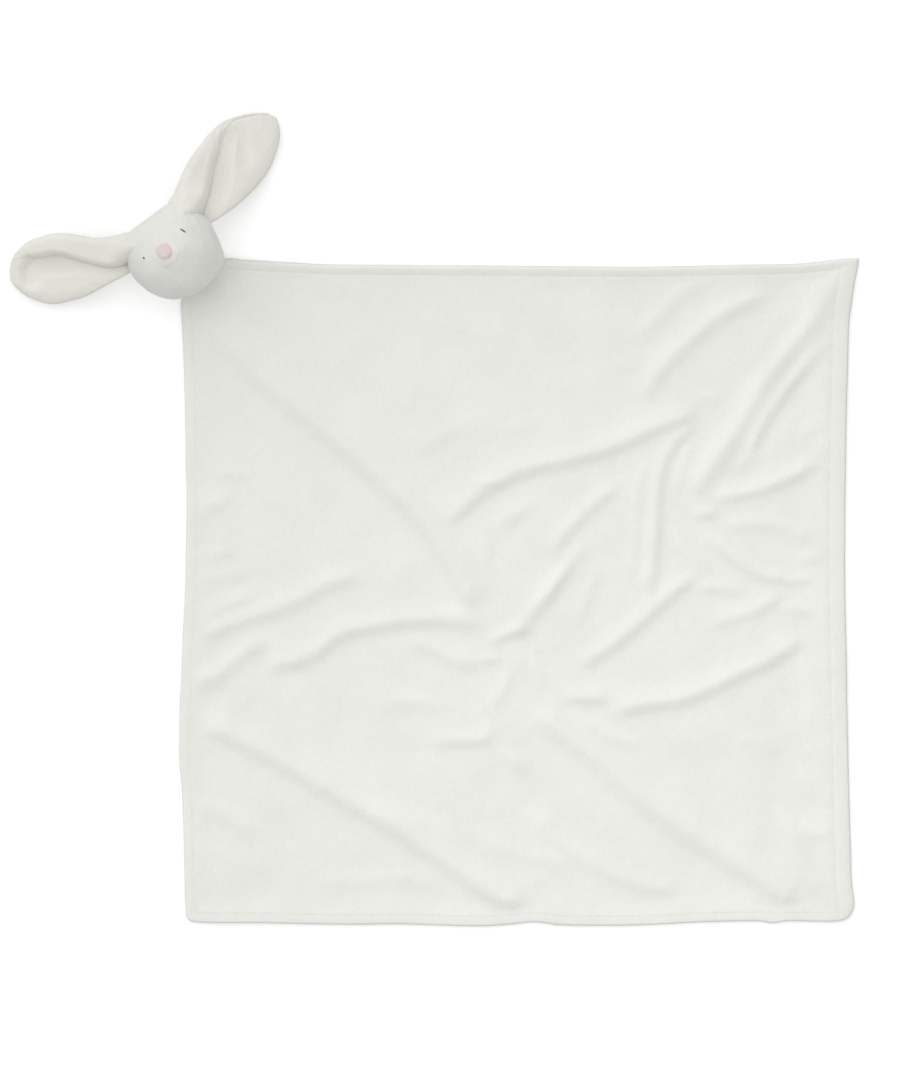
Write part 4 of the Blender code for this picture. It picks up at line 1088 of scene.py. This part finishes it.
# Ears: edges in pixels from the root to the tip, on which side of the hinge's axis the crown lies, and
# how long the roll's rim takes to come down onto the flap
EARS = {
    "left": {
        "to_crown": 1.0,
        "lip_fall": 0.0058,
        "crown": (
            (152, 237), (140, 234.5), (128, 235.5), (119, 238), (107, 240), (94, 241), (80, 238),
            (64, 236), (52, 236.5), (38, 240.5), (26, 246), (17, 253), (12, 262), (10.8, 270),
        ),
        "outer": (
            (141, 266), (130, 273.6), (112, 283), (98, 290.5), (85, 297), (70, 301), (57, 304),
            (45, 303), (36, 300), (26, 295), (18, 288), (12.5, 280), (10.8, 270),
        ),
    },
    "right": {
        "to_crown": -1.0,
        "lip_fall": 0.0085,
        "crown": (
            (167, 224), (168.5, 213), (171.5, 203.5), (177, 195), (182, 183), (188, 169), (195, 157),
            (204, 145.5), (212, 133), (222, 123.5), (236, 117), (250, 114), (265, 113.4), (272.5, 116.5),
        ),
        "outer": (
            (198, 233), (212, 223.5), (222, 217), (236, 207), (250, 194), (260, 183), (270, 168),
            (276, 153), (279, 141), (279, 130), (277, 122), (272.5, 116.5),
        ),
    },
}
# Along each ear: share of its length, width of its rolled rim, radius of the roll, how high the flap
# swells, and how much of that is left under the roll
ROLL = {
    "left": (
        (-0.16, 0.0255, 0.0052, 0.001, 0.0), (0.1, 0.0243, 0.005, 0.0012, 0.0),
        (0.25, 0.0212, 0.0048, 0.0026, 0.0), (0.38, 0.0205, 0.0049, 0.0046, 0.0),
        (0.5, 0.018, 0.0051, 0.0062, 0.0), (0.62, 0.0158, 0.005, 0.007, 0.0),
        (0.72, 0.0146, 0.0044, 0.007, 0.1), (0.8, 0.0118, 0.0029, 0.0068, 0.5),
        (0.87, 0.0072, 0.0013, 0.0064, 0.9), (0.93, 0.0032, 0.0007, 0.0054, 1.0),
        (1.02, 0.002, 0.0006, 0.004, 1.0),
    ),
    "right": (
        (-0.16, 0.0272, 0.0052, 0.001, 0.0), (0.05, 0.0274, 0.0051, 0.0014, 0.0),
        (0.17, 0.0264, 0.005, 0.0036, 0.0), (0.28, 0.0226, 0.0049, 0.0054, 0.0),
        (0.385, 0.0178, 0.0042, 0.0062, 0.0), (0.47, 0.0146, 0.0029, 0.0064, 0.2),
        (0.55, 0.0112, 0.0016, 0.0064, 0.6), (0.63, 0.0074, 0.0009, 0.0063, 0.9),
        (0.7, 0.0044, 0.0007, 0.0061, 1.0), (0.78, 0.0024, 0.0006, 0.0058, 1.0),
        (0.94, 0.002, 0.0006, 0.0048, 1.0), (1.02, 0.002, 0.0006, 0.0036, 1.0),
    ),
}
# Hollows of the flap, along their middles: pixel, share of the flap's height that is taken away, half
# width of the flat bottom and width of the slope beyond it in pixels
HOLLOWS = {
    "left": (
        (
            (128, 267, 0.6, 1.5, 8.0), (112, 270, 0.6, 1.5, 8.0), (96, 267.5, 0.66, 2.0, 8.5),
            (80, 264.5, 0.84, 3.2, 10.0), (70, 262.5, 0.98, 4.5, 11.5), (58, 262, 0.98, 4.5, 11.5),
            (46, 263, 0.98, 4.5, 11.5), (40, 264.5, 0.98, 4.5, 11.5), (34.5, 268, 0.96, 4.5, 11.5),
            (32, 272, 0.88, 4.5, 11.5), (31.5, 277, 0.72, 4.0, 11.5),
        ),
    ),
    "right": (
        (
            (205, 215, 0.98, 5.0, 11.0), (210, 205, 0.98, 5.5, 11.0), (216, 190, 0.98, 5.5, 11.0),
            (218.5, 175, 0.98, 5.5, 11.0), (219.5, 163, 0.96, 5.0, 11.0), (222, 152, 0.84, 4.0, 11.0),
            (226, 143, 0.58, 3.0, 11.0), (231, 134, 0.28, 2.0, 11.0), (235, 127, 0.05, 1.0, 11.0),
        ),
        (
            (239, 124, 0.1, 1.0, 12.0), (242, 136, 0.26, 1.0, 12.0), (244, 150, 0.26, 1.0, 12.0),
            (243, 162, 0.12, 1.0, 12.0),
        ),
    ),
}
# Rise of the rolled rim onto the head: distance from the middle of the head, and rise, in mm
ROOT_RISE = (
    (27.0, 18.6), (31.0, 18.2), (35.0, 17.0), (38.0, 15.2), (41.0, 12.8), (44.0, 9.6), (47.0, 6.2),
    (50.0, 3.4), (53.0, 1.5), (57.0, 0.4), (61.0, 0.0),
)
# Length from the hinge, share of it at which an ear starts, and drop at the root and where it lies
EAR_LENGTH, EAR_START = 0.0990, -0.16
ROOT_DROP, LIE_DROP, LIE_SHARE = -0.0028, -0.0274, 0.70
# Rows from root to tip, how strongly they crowd at the tip, and share of the length that they leave there
EAR_ROWS, ROW_CROWDING, TIP_GAP = 150, 1.7, 0.0003
FLAP_COLUMNS, BEND_COLUMNS, RETURN_COLUMNS = 56, 20, 26
# Most of the ear's width that the roll and its radius take, and the least of the rim past the bend
MOST_ROLLED, MOST_RADIUS, LEAST_RETURN = 0.72, 0.20, 0.0012
# Flap: share of its height at the outer edge, share of its width over which that grows, and width from
# which an ear has its full height
EDGE_SWELL, SWELL_REACH, FULL_WIDTH = 0.45, 0.22, 0.030
# Stretches over which the flap goes down under the roll: past the lip, and in all
LIP_MARGIN, UNDER_REACH = 0.002, 0.007
# Cloth in the roll: share of its radius, stretch before the bend, taper at the lip, and gap to the flap
CLOTH_IN_BEND, BEND_REACH, LIP_TAPER, REST_GAP = 0.85, 0.005, 0.0046, 0.0003
# Rise onto the head: how far before the lip it starts, its reach there, and its reach at the rim
RISE_MARGIN, LIP_RISE, RIM_RISE = 0.001, 0.012, 0.011
# Reach of the cloth's rounded edge and its least thickness, then noise of the pile as height, waves per
# metre and seed, and stretch at the edge over which the pile grows
EDGE_ROUNDING, LEAST_CLOTH = 0.0032, 0.0002
EAR_PILE = ((0.00022, 150.0, 21), (0.00015, 340.0, 22))
PILE_EDGE = 0.003


def ear_frame(name):
    """Root of an ear, the way along it to the tip, and the way across it to the crown."""
    joint = JOINTS["ear_%s_flop" % name]
    hinge = np.array(joint["axis"])
    return np.array(joint["pos_m"]), np.cross(UP, hinge), hinge * EARS[name]["to_crown"]


def ear_middle_surface(name):
    """Points midway between an ear's two layers, rows from root to tip, and the most that half of the
    cloth may measure at each."""
    root, along, crown = ear_frame(name)
    edges = {}
    for side in ("crown", "outer"):
        curve, _ = spline(to_world(EARS[name][side]), samples=16)
        off = np.column_stack([curve, np.full(len(curve), root[2])]) - root
        edges[side] = (off @ along / EAR_LENGTH, off @ crown)
    tip = min(edges["crown"][0].max(), edges["outer"][0].max()) - TIP_GAP
    step = np.linspace(0.0, 1.0, EAR_ROWS + 1)
    shares = mix(EAR_START, tip, 1.0 - (1.0 - step) ** ROW_CROWDING)
    table, _ = spline(ROLL[name])
    rows = []
    for share in shares:
        high, low = np.interp(share, *edges["crown"]), np.interp(share, *edges["outer"])
        roll = [np.interp(share, table[:, 0], column) for column in table.T[1:]]
        middle = root + share * EAR_LENGTH * along
        rows.append(ear_row(name, lambda offs: middle + offs[:, None] * crown, high, low, *roll))
    across, height, limits = (np.array(parts) for parts in zip(*rows))
    drop = mix(ROOT_DROP, LIE_DROP, smooth(shares / LIE_SHARE))
    reach = (shares * EAR_LENGTH)[:, None, None] * along
    return root + reach + across[..., None] * crown + (drop[:, None] + height)[..., None] * UP, limits


def hollow_depth(name, points):
    """Share of the flap's height that its hollows take away at points."""
    total = np.zeros(len(points))
    for path in HOLLOWS[name]:
        curve, _ = spline(path, samples=8)
        distance = np.linalg.norm(points[:, None, :2] - to_world(curve[:, :2]), axis=-1)
        depth, half_width, slope = curve[distance.argmin(axis=1), 2:].T
        away = (distance.min(axis=1) / PIXEL - half_width) / slope
        total = np.maximum(total, depth * (1.0 - smooth(away)))
    return total


def root_rise(points):
    """How far the rolled rim rises at points, where it runs up onto the head."""
    distance, rise = np.array(ROOT_RISE).T / 1000.0
    return np.interp(np.linalg.norm(points[:, :2] - HEAD_CENTRE[:2], axis=1), distance, rise)


def ear_row(name, place, high, low, width, radius, swell, under_roll):
    """Places across an ear and heights over its lowest line, from its outer edge round the roll to its
    lip, and the most that half the cloth may measure there."""
    full = high - low
    width, radius = min(width, full * MOST_ROLLED), min(radius, full * MOST_RADIUS)
    back = max(LEAST_RETURN, width - radius)
    bend = high - radius
    lip = bend - back
    # The flap, from the outer edge to the bend
    flap = np.linspace(0.0, 1.0, FLAP_COLUMNS + 1)
    across = mix(low, bend, flap)
    plateau = mix(EDGE_SWELL, 1.0, np.sqrt(smooth(flap / SWELL_REACH)))
    under = smooth((across - lip + LIP_MARGIN) / UNDER_REACH) * (1.0 - under_roll)
    hollow = hollow_depth(name, place(across))
    heights = swell * plateau * (1.0 - under) * (1.0 - hollow) * min(1.0, full / FULL_WIDTH)
    # The bend, and the rim that returns over the flap and comes down onto it at the lip
    angles = np.linspace(0.0, math.pi, BEND_COLUMNS + 1)[1:]
    around = bend + radius * np.sin(angles)
    rising = heights[-1] + radius * (1.0 - np.cos(angles))
    out = np.linspace(0.0, 1.0, RETURN_COLUMNS + 1)[1:]
    returning = bend - out * back
    to_lip = (1.0 - out) * back
    limit = min(EAR_CLOTH, radius * CLOTH_IN_BEND)
    beneath = mix(EAR_CLOTH, limit, smooth(1.0 - out * back / BEND_REACH))
    lowest = np.interp(returning, across, heights) + beneath + limit * smooth(to_lip / LIP_TAPER) + REST_GAP
    fall = smooth(1.0 - to_lip / min(EARS[name]["lip_fall"], back))
    falling = np.maximum(mix(rising[-1], lowest[-1], fall), lowest)
    places = np.concatenate([across, around, returning])
    # The upper half of the roll rises onto the head
    column = np.arange(len(places))
    share = smooth((places - lip + RISE_MARGIN) / LIP_RISE) * smooth((high - places) / RIM_RISE)
    lifted = root_rise(place(places)) * share * (column > FLAP_COLUMNS + BEND_COLUMNS // 2)
    near_roll = smooth(1.0 - (bend - places) / BEND_REACH)
    limits = mix(EAR_CLOTH, limit, np.where(column > FLAP_COLUMNS, 1.0, near_roll))
    return places, np.concatenate([heights, rising, falling]) + lifted, limits


def upward_normals(grid):
    """Normals of a grid, which point up on the flap."""
    normals = np.cross(np.gradient(grid, axis=1), np.gradient(grid, axis=0))
    normals /= np.maximum(np.linalg.norm(normals, axis=-1), 1e-9)[..., None]
    return normals if normals[EAR_ROWS // 2, FLAP_COLUMNS // 2, 2] > 0.0 else -normals


def rim_distance(grid):
    """Rough distance of each grid point to the nearest edge of the ear, and to the lip of its roll."""
    steps = np.linalg.norm(np.diff(grid, axis=1), axis=-1)
    along = np.concatenate([np.zeros((len(grid), 1)), np.cumsum(steps, axis=1)], axis=1)
    to_lip = along[:, -1:] - along
    rows = np.linalg.norm(np.diff(grid, axis=0), axis=-1)
    to_tip = np.concatenate([np.cumsum(rows[::-1], axis=0)[::-1], np.zeros((1, grid.shape[1]))], axis=0)
    return np.minimum(np.minimum(along, to_lip), to_tip), to_lip


def face_out(piece):
    bm = bmesh.new()
    bm.from_mesh(piece.data)
    bmesh.ops.recalc_face_normals(bm, faces=bm.faces[:])
    bm.to_mesh(piece.data)
    bm.free()


def build_ear(name):
    middle, limits = ear_middle_surface(name)
    normals = upward_normals(middle)
    near, lip = rim_distance(middle)
    full = np.minimum(EAR_CLOTH * quarter_round(near / EDGE_ROUNDING), limits * smooth(lip / LIP_TAPER))
    pile = unevenness(middle, EAR_PILE) * np.clip(near / PILE_EDGE, 0.0, 1.0)
    gap = LAYER_GAP / 2.0
    for part, side in (("back", -1.0), ("lining", 1.0)):
        outside = np.maximum(full - side * pile, gap + LEAST_CLOTH)
        outer = middle + normals * (side * outside)[..., None]
        inner = middle + normals * (side * gap)
        piece = closed_layer("ear_%s_%s_cloth" % (name, part), outer, inner, ear_plush)
        face_out(piece)
        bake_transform(piece)
        if part == "back":
            slot, nodes, rests = "white_plush", ["ear_%s_back" % name, "ear_%s_root_seam" % name], "floor"
        else:
            slot, nodes, rests = "lining_plush", ["ear_%s_lining" % name], "ear_%s_back_cloth" % name
        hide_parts(*nodes)


build_ear("left")
build_ear("right")


# Threads of the blanket: places in border widths from the edge, distances between their points, radii,
# and wave and sinking of the topstitch
TOPSTITCH_EDGE, TOPSTITCH_STEP, TOPSTITCH_THREAD = 1.0, 0.0005, 0.00028
STITCH_WAVE, STITCH_LENGTH, STITCH_SINK = 0.00040, 0.0032, 0.00025
SEAM_EDGE, SEAM_STEP, SEAM_THREAD, SEAM_SINK = 0.035, 0.0030, 0.00025, 0.0002
THREAD_SIDES = 6
# Length of each thread's first and last side that the neck leaves out
NECK_LENGTH = 0.030


def border_path(edge, step):
    """Places across and up the sheet, a step apart, round the border at an edge distance in border
    widths, from one side of the neck to the other."""
    left, right = edge * BORDERS["left"], SPAN[0] - edge * BORDERS["right"]
    low, high = edge * BORDERS["low"], SPAN[1] - edge * BORDERS["high"]
    first, last = (left, high - NECK_LENGTH), (left + NECK_LENGTH, high)
    corners = np.array([first, (left, low), (right, low), (right, high), last])
    sides = []
    for start, end in zip(corners, corners[1:]):
        count = int(np.linalg.norm(end - start) / step)
        sides.append(mix(start, end, np.linspace(0.0, 1.0, count, endpoint=False)[:, None]))
    return np.vstack(sides + [corners[-1:]])


def on_sheet(places, grid):
    """Values of the sheet's grid at places across and up."""
    across, up = sheet.across[0], sheet.up[:, 0]
    column = np.clip(np.searchsorted(across, places[:, 0]) - 1, 0, len(across) - 2)
    row = np.clip(np.searchsorted(up, places[:, 1]) - 1, 0, len(up) - 2)
    u = ((places[:, 0] - across[column]) / (across[column + 1] - across[column]))[:, None]
    v = ((places[:, 1] - up[row]) / (up[row + 1] - up[row]))[:, None]
    low = mix(grid[row, column], grid[row, column + 1], u)
    high = mix(grid[row + 1, column], grid[row + 1, column + 1], u)
    return mix(low, high, v)


def border_thread(name, path, radius, node):
    piece = tube(name, path, radius, THREAD_SIDES, seam_white)
    across_neck(piece)
    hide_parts(node)


def build_topstitch():
    path = on_sheet(border_path(TOPSTITCH_EDGE, TOPSTITCH_STEP), gathered(sheet.flat, front_top))
    path[:, 2] += STITCH_WAVE * np.cos(run_along(path) / STITCH_LENGTH * 2.0 * math.pi) - STITCH_SINK
    border_thread("topstitch", path, TOPSTITCH_THREAD, "blanket_topstitch_thread")


def build_edge_seam():
    rim = gathered(sheet.flat, np.full(sheet.edge.shape, RIM_HEIGHT - SEAM_SINK))
    path = on_sheet(border_path(SEAM_EDGE, SEAM_STEP), rim)
    border_thread("edge_seam", path, SEAM_THREAD, "blanket_edge_seam_thread")


build_topstitch()
build_edge_seam()
